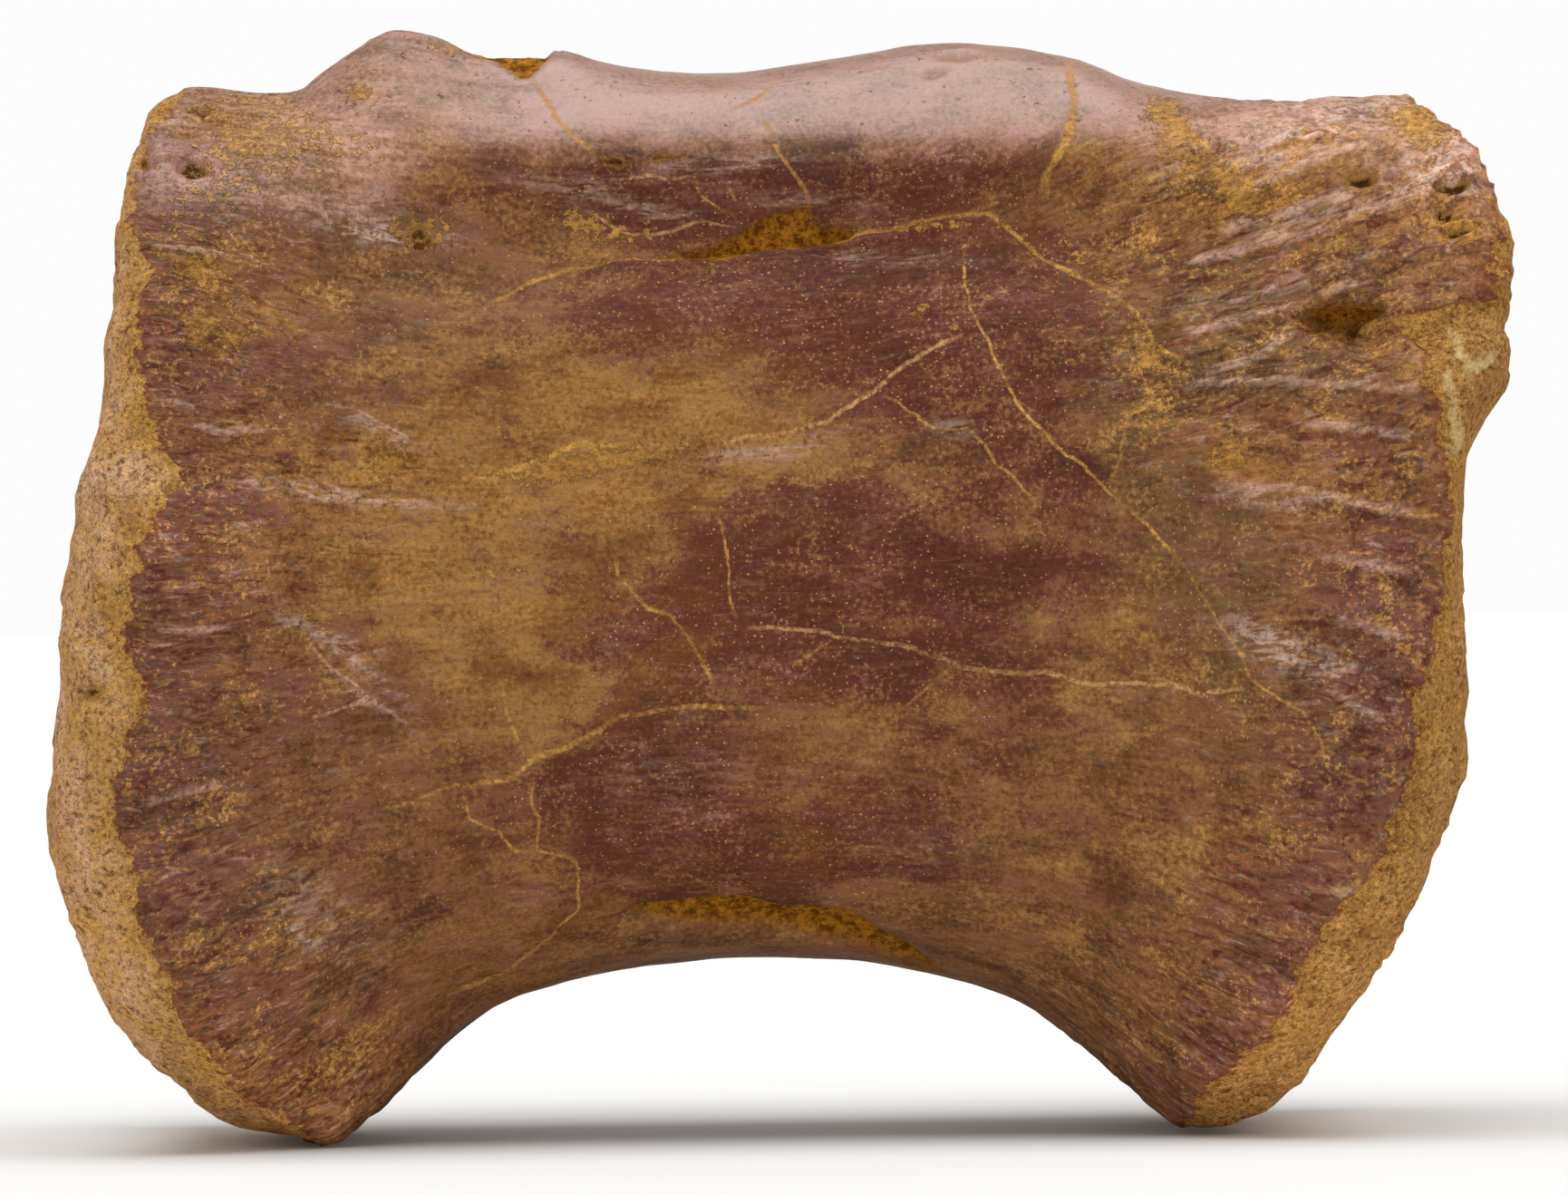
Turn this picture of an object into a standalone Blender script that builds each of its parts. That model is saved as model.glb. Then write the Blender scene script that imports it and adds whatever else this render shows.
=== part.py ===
"""Fossil tail vertebra of a spinosaurid: the spool-shaped body of the bone, with the worn stumps of the
neural arch along its top. It is one piece of stone-hard bone and stands on two worn flats under its ends.

Metres, +Z up. X runs along the spine, Y across it with the face that shows best on the -Y side, and the
origin is in the middle of the ground that the bone stands on. The pairs below are in millimetres, and the
finished shape is scaled to the driving dimensions.
"""

import math

import bmesh
import bpy
import numpy as np
from mathutils import Vector, noise

# Driving dimensions of the real bone.
LENGTH = 0.125  # over the two end faces
WIDTH = 0.078  # across the end faces
HEIGHT = 0.095  # from the flats to the tallest stump

# The side views below were drawn with the right foot off the ground; the bone turns this far to stand level.
STANCE = math.radians(0.85)
PIVOT = (-40.0, 0.0)  # the left foot, as (x, z)

# The lines that run along the bone, from the top down: the (y, z) of each at the waist, and at the rims.
LINES = (
    ("canal floor", (0.0, 84.0), (0.0, 85.4)),
    ("canal foot", (4.2, 84.6), (4.6, 86.0)),
    ("canal wall", (8.0, 88.8), (9.0, 89.4)),
    ("stump crest", (12.0, 92.4), (14.0, 90.6)),
    ("stump slope", (16.6, 91.2), (20.0, 88.6)),
    ("stump brow", (20.0, 88.2), (26.0, 84.6)),
    ("stump shoulder", (21.8, 84.8), (30.0, 80.0)),
    ("furrow", (20.6, 80.2), (33.2, 74.4)),
    ("suture", (21.4, 76.2), (35.4, 69.0)),
    ("upper flank", (24.6, 70.4), (37.4, 62.0)),
    ("high flank", (26.8, 61.0), (38.7, 54.0)),
    ("mid flank", (27.8, 50.0), (39.0, 45.0)),
    ("low flank", (27.4, 39.6), (38.2, 34.5)),
    ("under flank", (25.0, 30.4), (35.8, 24.0)),
    ("lower edge", (20.6, 22.8), (31.6, 14.0)),
    ("belly edge", (15.0, 17.4), (25.2, 6.0)),
    ("belly side", (8.4, 15.4), (16.6, 0.2)),
    ("belly inner", (3.6, 15.0), (7.6, -0.7)),
    ("belly", (0.0, 15.0), (0.0, -0.7)),
)

# How far the section has grown from waist to rim, against the share of the way along the bone.
FLARE = (
    (0.0, 0.0), (0.25, 0.045), (0.45, 0.14), (0.55, 0.22), (0.65, 0.355), (0.74, 0.545), (0.8, 0.68),
    (0.86, 0.8), (0.93, 0.93), (1.0, 1.0),
)

# The (z, x) of the edge of the smooth outer bone at each end, where it has broken back from the lip.
LEFT_EDGE = (
    (0, -40.2), (2.5, -44.2), (6, -48.5), (12, -51.5), (18, -53.6), (28, -57), (36, -56.4), (46, -55.2),
    (60, -53.6), (72, -54), (79, -55.4), (84, -55.0), (88, -54.0), (91, -52.6),
)
RIGHT_EDGE = (
    (0, 37.8), (4, 38.6), (8, 40.6), (14, 43.6), (20, 47.6), (28, 51), (36, 53.6), (48, 55.8), (58, 56.6),
    (66, 58), (76, 60.6), (82, 60.8), (87, 58.8), (91, 55.4),
)

# The (z, x) of the crest of each lip, which is the outline seen from the side.
LEFT_LIP = (
    (5, -52.2), (9, -55.6), (12.4, -57.6), (15.8, -59.2), (22, -61.5), (26, -62.4), (29, -62.7),
    (32.7, -62.6), (35.8, -62.0), (37.8, -61.5), (40.5, -61.9), (46.6, -61.2), (52.8, -60.2),
    (59, -58.7), (62.5, -57.2), (66, -57.1), (68.6, -57.5), (71, -56.6), (74, -56.6), (76.4, -57.2),
    (79.6, -57.0), (81.4, -57.2), (83.4, -56.0), (86.4, -55.0), (90.5, -53.4),
)
RIGHT_LIP = (
    (5, 43.2), (8.6, 46.6), (12.6, 49.5), (15.7, 51.8), (18.7, 53.7), (21.6, 55.0), (25, 56.6),
    (29, 58), (33.4, 59.1), (37, 58.9), (40.3, 59.0), (44, 58.4), (48, 57.9), (54.2, 57.8),
    (57.3, 58.8), (58.8, 58.6), (61.9, 60.0), (65, 62.4), (67, 62.8), (69.6, 62.0), (72.3, 62.2),
    (75.4, 63.2), (78.2, 62.8), (81.4, 61.6), (84.6, 60.0), (88, 57.6),
)

# The (z, x) that each worn end face settles to inside its lip, before it is dished.
LEFT_FACE = ((5, -52), (16, -58.6), (30, -61.2), (46, -60.4), (66, -57.4), (90, -53.4))
RIGHT_FACE = ((5, 43), (16, 51.4), (30, 56.8), (46, 57.8), (66, 59.6), (90, 57))
DISH = 4.0  # how deep each end face is hollowed
DISH_WIDTH, DISH_HEIGHT = 33.0, 39.0  # from its middle to where the hollow begins, across and up
# The (z, depth) of how far each crest lies inside the edge, and the share of the way out from the face's
# middle where the crest's raggedness begins.
LIP_DEPTH = ((0, 6.4), (12, 7.2), (50, 6.6), (66, 5.4), (80, 4.4), (91, 3.8))
RAGGED = 0.82
FACE_CENTRE = 46.0  # height of the middle of the end faces
WAIST_X = -4.0

# The broken edge of the outer bone: a step down on to the spongy bone, cut into fingers along the grain.
STEP_DEPTH = 0.7
STEP_REACH = 0.6
FINGERS = 0.9

# The (x, z) of the ragged top of the near stump, and of the far one.
NEAR_CREST = (
    (-54, 91.8), (-48.7, 92.5), (-43.2, 91.4), (-40.1, 92.5), (-38, 94.6), (-36, 96.8), (-32.9, 97.2),
    (-30.5, 96.8), (-27.7, 95.2), (-25.8, 95.4), (-20.2, 95.2), (-12.3, 93.1), (-5.2, 92.8),
    (1.9, 93.7), (9.8, 95.2), (14.5, 95.9), (21.6, 95.4), (25.6, 94.6), (31, 92.4), (37.3, 91.2),
    (44.4, 90.6), (53.1, 91.0), (57.9, 89.4),
)
FAR_CREST = (
    (-53, 90.8), (-44, 91.2), (-34, 93.4), (-26, 94.6), (-14, 92.8), (-4, 91.8), (8, 93.4), (20, 94.2),
    (30, 92.0), (40, 90.2), (54, 89.8), (58, 88.4),
)
CREST_Y = 12.0
CREST_REACH = 7.5  # how far to each side of the crest the stump's height is felt
CREST_FOOT, CREST_RISE = 80.0, 6.0  # the height above which it starts to be felt, and over which it grows

# Pits, grooves and broken pockets of the near face: half width, depth, and the (x, z) of its middle line.
HOLLOWS = (
    ("rim pit", 1.9, 2.0, ((44.9, 70.0), (47.5, 69.9), (50.2, 69.3))),
    ("lobe pit", 1.3, 1.2, ((55.6, 79.9), (58.0, 81.2))),
    ("lobe pocket", 1.2, 0.9, ((56.0, 78.2), (57.4, 76.8))),
    ("upper rim groove", 1.4, 0.7, ((42.2, 63.2), (48.0, 63.6), (54.6, 63.0))),
    ("middle rim groove", 1.4, 0.7, ((42.6, 60.4), (48.4, 60.0), (54.0, 59.2))),
    ("lower rim groove", 1.6, 0.9, ((42.4, 54.8), (48.6, 54.0), (55.2, 52.0))),
    ("belly crevice", 1.6, 1.4, ((-12.0, 19.2), (-5.4, 19.0), (0.6, 18.6), (6.6, 17.4), (11.6, 15.4))),
    ("furrow pocket", 1.8, 1.0, ((-7.6, 74.9), (-2.4, 76.2), (2.4, 77.4), (6.4, 77.0))),
    ("shoulder nick", 1.3, 1.0, ((-15.6, 82.9), (-12.2, 83.3))),
    ("left pit", 1.4, 0.9, ((-39.0, 59.6), (-36.2, 59.2))),
    ("stump chip", 2.0, 1.1, ((-25.6, 91.4), (-22.2, 90.2), (-19.6, 91.6))),
    ("cheek pit", 1.4, 0.8, ((-33.6, 76.2), (-31.2, 75.4))),
)
PIT_FACET = 1.3  # how fine the facets are around a hollow

HALVINGS = 3  # at most this many times is a facet halved there
SOFTENING = 0.4
SIDE_ON = 0.7  # a place faces along the spine where its normal's X is past this
OUTWARD = -0.3  # and away from the near face where its normal's Y is past this

# The worn flats: corners this close to the ground are brought on to it, and this close together are joined.
THINNEST = 0.15
TOGETHER = 0.01

# Fineness of the facets, the ridges of the grain, and the slow waviness of old bone.
FACET_AROUND = 2.45
FACET_ALONG = 4.7
LIP_STEPS = 3
FACE_SHARES = (1.0, 0.9, 0.74, 0.5, 0.25)
RIDGE_HEIGHT = 0.3
RIDGE_START = 0.3  # share of the way from waist to rim where the ridges begin
RIDGE_ORDER = 0.7  # how strongly ridge and groove take turns, against their unevenness
UNEVEN_STEP = 2.37  # how far apart neighbours lie on the noise, so that they are unlike
UNEVEN_GAIN = 1.6  # brings that noise out to about -1 and 1
WAVE_LENGTH = 17.0
WAVE_HEIGHT = 0.5

BONE_COLOUR = (0.19, 0.085, 0.045, 1.0)
BONE_ROUGHNESS = 0.45


def eased(points, at):
    """The value at each place on a smooth curve through (place, value) points that never overshoots them."""
    places, values = np.array(points, float).T
    steps = np.diff(places)
    slopes = np.diff(values) / steps
    turns = np.zeros(len(places))
    same_way = slopes[:-1] * slopes[1:] > 0
    harmonic = 2 * slopes[:-1] * slopes[1:] / np.where(same_way, slopes[:-1] + slopes[1:], 1)
    turns[1:-1] = np.where(same_way, harmonic, 0)
    turns[0], turns[-1] = slopes[0], slopes[-1]
    at = np.clip(at, places[0], places[-1])
    i = np.clip(np.searchsorted(places, at) - 1, 0, len(steps) - 1)
    t = (at - places[i]) / steps[i]
    return (
        (1 + 2 * t) * (1 - t) ** 2 * values[i]
        + t * (1 - t) ** 2 * steps[i] * turns[i]
        + t * t * (3 - 2 * t) * values[i + 1]
        + t * t * (t - 1) * steps[i] * turns[i + 1]
    )


def standing(x, z):
    """A place in the side view, once the bone stands on both feet."""
    x, z = np.asarray(x, float) - PIVOT[0], np.asarray(z, float) - PIVOT[1]
    turn_cos, turn_sin = math.cos(STANCE), math.sin(STANCE)
    return PIVOT[0] + x * turn_cos + z * turn_sin, PIVOT[1] - x * turn_sin + z * turn_cos


def standing_edge(edge):
    """(z, x) pairs of an edge seen from the side, once the bone stands."""
    z, x = np.array(edge, float).T
    x, z = standing(x, z)
    return np.column_stack([z, x])


def standing_line(line):
    """(x, z) pairs seen from the side, once the bone stands."""
    return np.column_stack(standing(*np.array(line, float).T))


def whole_ring(half):
    """A half section from the top to the belly, as the whole ring of points: near side down, far side up."""
    near = [(-y, z) for y, z in half]
    far = [(y, z) for y, z in half[-2:0:-1]]
    return np.array(near + far, float)


def rounded_ring(ring, counts):
    """A closed ring of knots as a smooth ring, with counts[i] points from knot i to the next."""
    found = []
    for i, count in enumerate(counts):
        before, start, end, after = (ring[(i + k) % len(ring)] for k in (-1, 0, 1, 2))
        for t in np.arange(count) / count:
            cubic = 3 * start - before - 3 * end + after
            square = 2 * before - 5 * start + 4 * end - after
            found.append((2 * start + (end - before) * t + square * t**2 + cubic * t**3) / 2)
    return np.array(found)


def sections():
    """The waist ring and the rim ring, with matching points about a facet apart."""
    waist = whole_ring([w for _, w, _ in LINES])
    rim = whole_ring([r for _, _, r in LINES])
    gaps = [np.linalg.norm(np.roll(ring, -1, 0) - ring, axis=1) for ring in (waist, rim)]
    counts = np.maximum(1, np.round((gaps[0] + gaps[1]) / 2 / FACET_AROUND)).astype(int)
    return rounded_ring(waist, counts), rounded_ring(rim, counts)


def unevenness(count, seed):
    """A number between about -1 and 1 for each place around the bone, neighbours unlike each other."""
    places = [Vector((UNEVEN_STEP * k, seed + 0.5, 0.5)) for k in range(count)]
    return UNEVEN_GAIN * np.array([noise.noise(place) for place in places])


def end_rings(rim, edge, lip, face, seed):
    """The rings of one end, from the edge of the outer bone over the lip and in to the middle of the face."""
    middle = np.array([0.0, FACE_CENTRE])
    out = rim - middle
    reach = np.linalg.norm(out, axis=1)
    outward = -1.0 if edge[:, 1].mean() < 0 else 1.0
    edge_x = eased(edge, rim[:, 1]) + FINGERS * unevenness(len(rim), seed)
    foot_x = edge_x + outward * STEP_REACH
    foot_reach = reach - STEP_DEPTH
    crest_reach = reach - eased(LIP_DEPTH, rim[:, 1])
    crest = middle + out * (crest_reach / reach)[:, None]
    crest_x = eased(lip, crest[:, 1])

    rings = [np.column_stack([edge_x, rim])]
    for turn in np.linspace(math.pi / 2, 0, LIP_STEPS, endpoint=False):
        at_reach = crest_reach + (foot_reach - crest_reach) * math.sin(turn)
        at_x = foot_x + (crest_x - foot_x) * math.cos(turn)
        rings.append(np.column_stack([at_x, middle + out * (at_reach / reach)[:, None]]))
    calm_at_crest = eased(face, crest[:, 1])
    for share in FACE_SHARES:
        at = middle + (crest - middle) * share
        ragged = max(0.0, (share - RAGGED) / (1 - RAGGED)) ** 2
        outside = (at[:, 0] / DISH_WIDTH) ** 2 + ((at[:, 1] - FACE_CENTRE) / DISH_HEIGHT) ** 2
        hollow = outward * DISH * np.clip(1 - outside, 0, 1) ** 1.5
        at_x = eased(face, at[:, 1]) + (crest_x - calm_at_crest) * ragged - hollow
        rings.append(np.column_stack([at_x, at]))
    hub = np.array([float(eased(face, FACE_CENTRE)) - outward * DISH, *middle])
    return rings, hub


def side_rings(waist, rim, left, right):
    """The rings between the outer bone's broken edges, flaring from the waist, with the grain's ridges."""
    grain = unevenness(len(rim), 3) + RIDGE_ORDER * (-1.0) ** np.arange(len(rim))
    out = rim - np.array([0.0, FACE_CENTRE])
    out /= np.linalg.norm(out, axis=1)[:, None]
    span = right.max() - left.min()
    rings = []
    for share in np.linspace(-1, 1, round(span / FACET_ALONG) + 1):
        end = left if share < 0 else right
        x = WAIST_X + abs(share) * (end - WAIST_X)
        risen = RIDGE_HEIGHT * max(0.0, (abs(share) - RIDGE_START) / (1 - RIDGE_START))
        section = waist + (rim - waist) * eased(FLARE, abs(share))
        rings.append(np.column_stack([x, section + out * (risen * grain)[:, None]]))
    return rings


def raise_stumps(points):
    """Gives the top of the bone the ragged height of its two stumps."""
    x, y, z = points.T
    crest = np.where(y < 0, eased(standing_line(NEAR_CREST), x), eased(standing_line(FAR_CREST), x))
    share = np.abs(x - WAIST_X) / np.abs(x - WAIST_X).max()
    waist_top, rim_top = next((waist[1], rim[1]) for name, waist, rim in LINES if name == "stump crest")
    plain = waist_top + (rim_top - waist_top) * eased(FLARE, share)
    felt = np.exp(-(((np.abs(y) - CREST_Y) / CREST_REACH) ** 4))
    on_top = np.clip((z - CREST_FOOT) / CREST_RISE, 0, 1)
    points[:, 2] += (crest - plain) * felt * on_top


def spool():
    """The whole bone as a closed mesh of rings, in millimetres."""
    waist, rim = sections()
    left, left_hub = end_rings(rim, *map(standing_edge, (LEFT_EDGE, LEFT_LIP, LEFT_FACE)), seed=1)
    right, right_hub = end_rings(rim, *map(standing_edge, (RIGHT_EDGE, RIGHT_LIP, RIGHT_FACE)), seed=2)
    between = side_rings(waist, rim, left[0][:, 0], right[0][:, 0])
    rings = left[::-1][:-1] + between + right[1:]
    points = np.concatenate(rings + [left_hub[None], right_hub[None]])
    raise_stumps(points)

    bm = bmesh.new()
    verts = [bm.verts.new(p) for p in points]
    around = len(waist)
    last = (len(rings) - 1) * around
    for i in range(around):
        k = (i + 1) % around
        for row in range(0, last, around):
            bm.faces.new((verts[row + i], verts[row + around + i], verts[row + around + k], verts[row + k]))
        bm.faces.new((verts[i], verts[k], verts[-2]))
        bm.faces.new((verts[last + k], verts[last + i], verts[-1]))
    bmesh.ops.recalc_face_normals(bm, faces=bm.faces)
    return bm


def line_distance(x, z, line):
    """How far a place in the side view is from a line of points."""
    at = np.array([x, z])
    nearest = math.inf
    for start, end in zip(line[:-1], line[1:]):
        way = end - start
        t = np.clip(np.dot(at - start, way) / np.dot(way, way), 0, 1)
        nearest = min(nearest, np.linalg.norm(at - start - t * way))
    return nearest


def hollow_out(bm):
    """Makes fine facets where the near face has its hollows, and pushes them in."""
    for _, half_width, depth, drawn in HOLLOWS:
        line = standing_line(drawn)
        reach = half_width + PIT_FACET

        def close(vert):
            near_face = vert.co.y < 0 and vert.normal.y < OUTWARD and abs(vert.normal.x) < SIDE_ON
            return near_face and line_distance(vert.co.x, vert.co.z, line) < reach

        for _ in range(HALVINGS):
            long_edges = [e for e in bm.edges if e.calc_length() > 2 * PIT_FACET]
            long_edges = [e for e in long_edges if any(close(v) for v in e.verts)]
            if not long_edges:
                break
            bmesh.ops.subdivide_edges(bm, edges=long_edges, cuts=1, use_grid_fill=True)
            many_sided = [f for f in bm.faces if len(f.verts) > 4]
            bmesh.ops.triangulate(bm, faces=many_sided, ngon_method="BEAUTY")
            bm.normal_update()
        touched = [v for v in bm.verts if close(v)]
        for vert in touched:
            gap = line_distance(vert.co.x, vert.co.z, line) / half_width
            if gap < 1:
                vert.co -= vert.normal * depth * (1 - gap**2)
        all_ways = dict.fromkeys(("use_axis_x", "use_axis_y", "use_axis_z"), True)
        bmesh.ops.smooth_vert(bm, verts=touched, factor=SOFTENING, **all_ways)
    bm.normal_update()


def weather(bm):
    """Swells and sinks the skin along a slow noise, so that no face of the old bone is ruled."""
    for vert in bm.verts:
        vert.co += vert.normal * WAVE_HEIGHT * noise.noise(vert.co / WAVE_LENGTH)


def wear_flats(bm):
    """Cuts the two ends flat where the bone has worn on the ground, with no thin facets beside the cut."""
    for vert in bm.verts:
        if abs(vert.co.z) < THINNEST:
            vert.co.z = 0
    ground = {"plane_co": (0, 0, 0), "plane_no": (0, 0, 1), "clear_inner": True}
    bmesh.ops.bisect_plane(bm, geom=bm.verts[:] + bm.edges[:] + bm.faces[:], **ground)
    bmesh.ops.remove_doubles(bm, verts=bm.verts, dist=TOGETHER)
    bmesh.ops.holes_fill(bm, edges=[e for e in bm.edges if e.is_boundary])


def to_real_size(bm):
    """Scales the drawing to the real bone, with the middle of its ground at the origin."""
    lows = Vector([min(v.co[k] for v in bm.verts) for k in range(3)])
    highs = Vector([max(v.co[k] for v in bm.verts) for k in range(3)])
    middle, size = (lows + highs) / 2, highs - lows
    bmesh.ops.translate(bm, verts=bm.verts, vec=(-middle.x, -middle.y, 0))
    bmesh.ops.scale(bm, verts=bm.verts, vec=(LENGTH / size.x, WIDTH / size.y, HEIGHT / size.z))


def bone_material():
    material = bpy.data.materials.new("fossil_bone")
    material.use_nodes = True
    shader = material.node_tree.nodes["Principled BSDF"]
    shader.inputs["Base Color"].default_value = BONE_COLOUR
    shader.inputs["Roughness"].default_value = BONE_ROUGHNESS
    return material


def main():
    for old in list(bpy.data.objects):
        bpy.data.objects.remove(old)
    bm = spool()
    hollow_out(bm)
    weather(bm)
    wear_flats(bm)
    to_real_size(bm)
    mesh = bpy.data.meshes.new("vertebra")
    bm.to_mesh(mesh)
    bm.free()
    mesh.materials.append(bone_material())
    bone = bpy.data.objects.new("vertebra", mesh)
    bpy.context.scene.collection.objects.link(bone)


main()
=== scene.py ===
"""The looks of a fossil tail vertebra of a spinosaurid: its skin, its stone, and the studio round it."""

import math

import bpy
import numpy as np
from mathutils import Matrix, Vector
from mathutils.bvhtree import BVHTree


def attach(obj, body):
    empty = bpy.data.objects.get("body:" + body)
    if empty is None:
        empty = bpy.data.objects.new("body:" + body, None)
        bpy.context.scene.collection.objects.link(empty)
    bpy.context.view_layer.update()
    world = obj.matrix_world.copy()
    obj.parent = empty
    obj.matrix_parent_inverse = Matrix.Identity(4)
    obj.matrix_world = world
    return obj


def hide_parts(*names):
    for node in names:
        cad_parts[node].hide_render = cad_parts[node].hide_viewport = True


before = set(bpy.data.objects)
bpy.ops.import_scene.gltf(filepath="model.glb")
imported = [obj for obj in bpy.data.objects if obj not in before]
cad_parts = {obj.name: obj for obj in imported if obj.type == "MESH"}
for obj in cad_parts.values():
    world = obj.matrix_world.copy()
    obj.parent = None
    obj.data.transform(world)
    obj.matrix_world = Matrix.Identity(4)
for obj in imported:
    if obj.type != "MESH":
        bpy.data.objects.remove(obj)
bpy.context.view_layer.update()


# The camera. It stands level with the middle of the bone and a metre in front of it, with a long
# lens, and leans by the angle at which the bone lies in the photograph.
PHOTO_WIDTH = 1730
PHOTO_HEIGHT = 1317
PIXELS_PER_MM = 12.6746  # of the photograph, on the bone's middle plane
CAMERA_DISTANCE = 1000.0  # mm
CAMERA_X = 0.163  # mm, right of the bone's middle
CAMERA_Z = 46.66  # mm, above the floor
CAMERA_LEAN = math.radians(0.85)
SENSOR_WIDTH = 36.0  # mm

lens_data = bpy.data.cameras.new("camera")
lens_data.sensor_width = SENSOR_WIDTH
lens_data.lens = PIXELS_PER_MM * CAMERA_DISTANCE * SENSOR_WIDTH / PHOTO_WIDTH
lens_data.clip_end = 20.0
camera = bpy.data.objects.new("camera", lens_data)
camera.location = (CAMERA_X / 1000, -CAMERA_DISTANCE / 1000, CAMERA_Z / 1000)
camera.rotation_euler = (math.pi / 2, CAMERA_LEAN, 0)
bpy.context.scene.collection.objects.link(camera)
bpy.context.scene.camera = camera


def in_photo(points):
    """Where points of the bone, in mm, lie in the photograph, in its pixels."""
    right = points[..., 0] - CAMERA_X
    up = points[..., 2] - CAMERA_Z
    size = PIXELS_PER_MM * CAMERA_DISTANCE / (points[..., 1] + CAMERA_DISTANCE)
    across = right * math.cos(CAMERA_LEAN) - up * math.sin(CAMERA_LEAN)
    above = right * math.sin(CAMERA_LEAN) + up * math.cos(CAMERA_LEAN)
    return PHOTO_WIDTH / 2 + across * size, PHOTO_HEIGHT / 2 - above * size


# The bone, as the ground gave it back: a spool of cortical bone turned to stone, drawn here as one
# skin of fine cells. Its cells follow the grain from end to end, and are smallest on the near side,
# which the photograph shows.
AXIS_HALF = 35.0  # mm, half the line down the middle that the skin is felt from
AXIS_HEIGHT = 46.0  # mm
COLUMNS = 448  # cells round the spool, a multiple of 64
ROWS = 258  # cells from one end's middle to the other's
NEAR_CELL = 0.36  # mm, round the near side
FAR_CELL = 0.92  # mm, round the far side
SIDE_CELL = 0.76  # mm, along the spool
RIM_CELL = 0.62  # mm, over the end rims
END_CELL = 1.0  # mm, on the end faces
FACET_BLUR = 1.25  # mm, how far the flat facets of the solid are smoothed
BLUR_PASSES = 40
STEADY_PULL = 0.25  # the most of one pass, beyond which the smoothing overshoots
ROUGH_PLACES = 121  # each way, in the first rough feel of the solid
NEAR_TURN = math.radians(92)  # round from the near side's middle, as far as its cells go
FAR_TURN = math.radians(118)  # where the cells have reached the far side's size
END_RADIUS = 38.0  # mm, of the part of an end face with the widest cells
RIM_START = 48.0  # mm, from the bone's middle

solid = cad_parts["vertebra"]
solid_tree = BVHTree.FromObject(solid, bpy.context.evaluated_depsgraph_get())


def eased(value, low, high):
    """0 below low and 1 above high, with a soft turn between. High may be the lower of the two."""
    share = np.clip((value - low) / (high - low), 0, 1)
    return share * share * (3 - 2 * share)


def felt(along, around):
    """The skin's point in mm. Along goes from 0 to 1 over the left end, to 2 down the side, to 3."""
    spoke = Vector((0, -math.cos(around), math.sin(around)))
    start = min(max(along - 1, 0), 1) * 2 * AXIS_HALF - AXIS_HALF
    tilt = (min(along, 1) - 1 + max(along - 2, 0)) * math.pi / 2
    way = spoke * math.cos(tilt) + Vector((math.sin(tilt), 0, 0))
    hit = solid_tree.ray_cast(Vector((start, 0, AXIS_HEIGHT)) / 1000, way)[0]
    return hit * 1000


def even_walk(places, steps, wishes, count):
    """Places that split a walk into count equal shares, each step counted in its wished cells."""
    walked = np.concatenate([[0], np.cumsum(steps / wishes)])
    return np.interp(np.linspace(0, walked[-1], count), walked, places)


rough_along = np.linspace(0, 3, ROUGH_PLACES)
rough_around = np.linspace(-math.pi, math.pi, ROUGH_PLACES)
rough = np.array([[felt(a, b) for b in rough_around] for a in rough_along])
side_rows = (rough_along > 1) & (rough_along < 2)
around_steps = np.linalg.norm(np.diff(rough[side_rows], axis=1), axis=2).mean(0)
along_steps = np.linalg.norm(np.diff(rough, axis=0), axis=2).mean(1)
middle_around = np.abs((rough_around[1:] + rough_around[:-1]) / 2)
middle_x = np.abs((rough[1:, :, 0] + rough[:-1, :, 0]) / 2).mean(1)
middle_radius = np.hypot(rough[..., 1], rough[..., 2] - AXIS_HEIGHT).mean(1)[1:]
around_wish = FAR_CELL + (NEAR_CELL - FAR_CELL) * eased(middle_around, FAR_TURN, NEAR_TURN)
on_end = (np.abs(rough_along[1:] - 1.5) > 0.5) & (middle_radius < END_RADIUS)
along_wish = np.where(on_end, END_CELL, np.where(middle_x > RIM_START, RIM_CELL, SIDE_CELL))
alongs = even_walk(rough_along, along_steps, along_wish, ROWS + 1)
arounds = even_walk(rough_around, around_steps, around_wish, COLUMNS + 1)[:-1]
skin = np.array([[felt(a, b) for b in arounds] for a in alongs])


def blurred(points):
    """The skin with its facets smoothed away, by the same length in mm wherever the cells are."""
    around_gap = np.linalg.norm(np.roll(points, -1, 1) - points, axis=2, keepdims=True) + 1e-6
    along_gap = np.linalg.norm(np.diff(points, axis=0), axis=2, keepdims=True)
    pull_around = np.minimum(STEADY_PULL, FACET_BLUR ** 2 / (2 * BLUR_PASSES * around_gap ** 2))
    pull_along = np.minimum(STEADY_PULL, FACET_BLUR ** 2 / (2 * BLUR_PASSES * along_gap[1:] ** 2))
    points = points.copy()
    for _ in range(BLUR_PASSES):
        beside = np.roll(points, -1, 1) + np.roll(points, 1, 1) - 2 * points
        points[1:-1] += pull_around[1:-1] * beside[1:-1]
        points[1:-1] += pull_along * (points[2:] + points[:-2] - 2 * points[1:-1])
        points[0] = points[1].mean(0)
        points[-1] = points[-2].mean(0)
    return points


soft = blurred(skin)
skin = 2 * soft - blurred(soft)


def outward(points):
    """The direction straight out of the skin at each of its points."""
    along = np.gradient(points, axis=0)
    around = np.roll(points, -1, 1) - np.roll(points, 1, 1)
    normal = np.cross(along, around)
    normal[0] = (-1, 0, 0)
    normal[-1] = (1, 0, 0)
    return normal / np.linalg.norm(normal, axis=2, keepdims=True)


LATTICE = 64  # random values each way, after which the noise repeats
LATTICE_START = 1000  # where on the lattice the bone's middle lies


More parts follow.
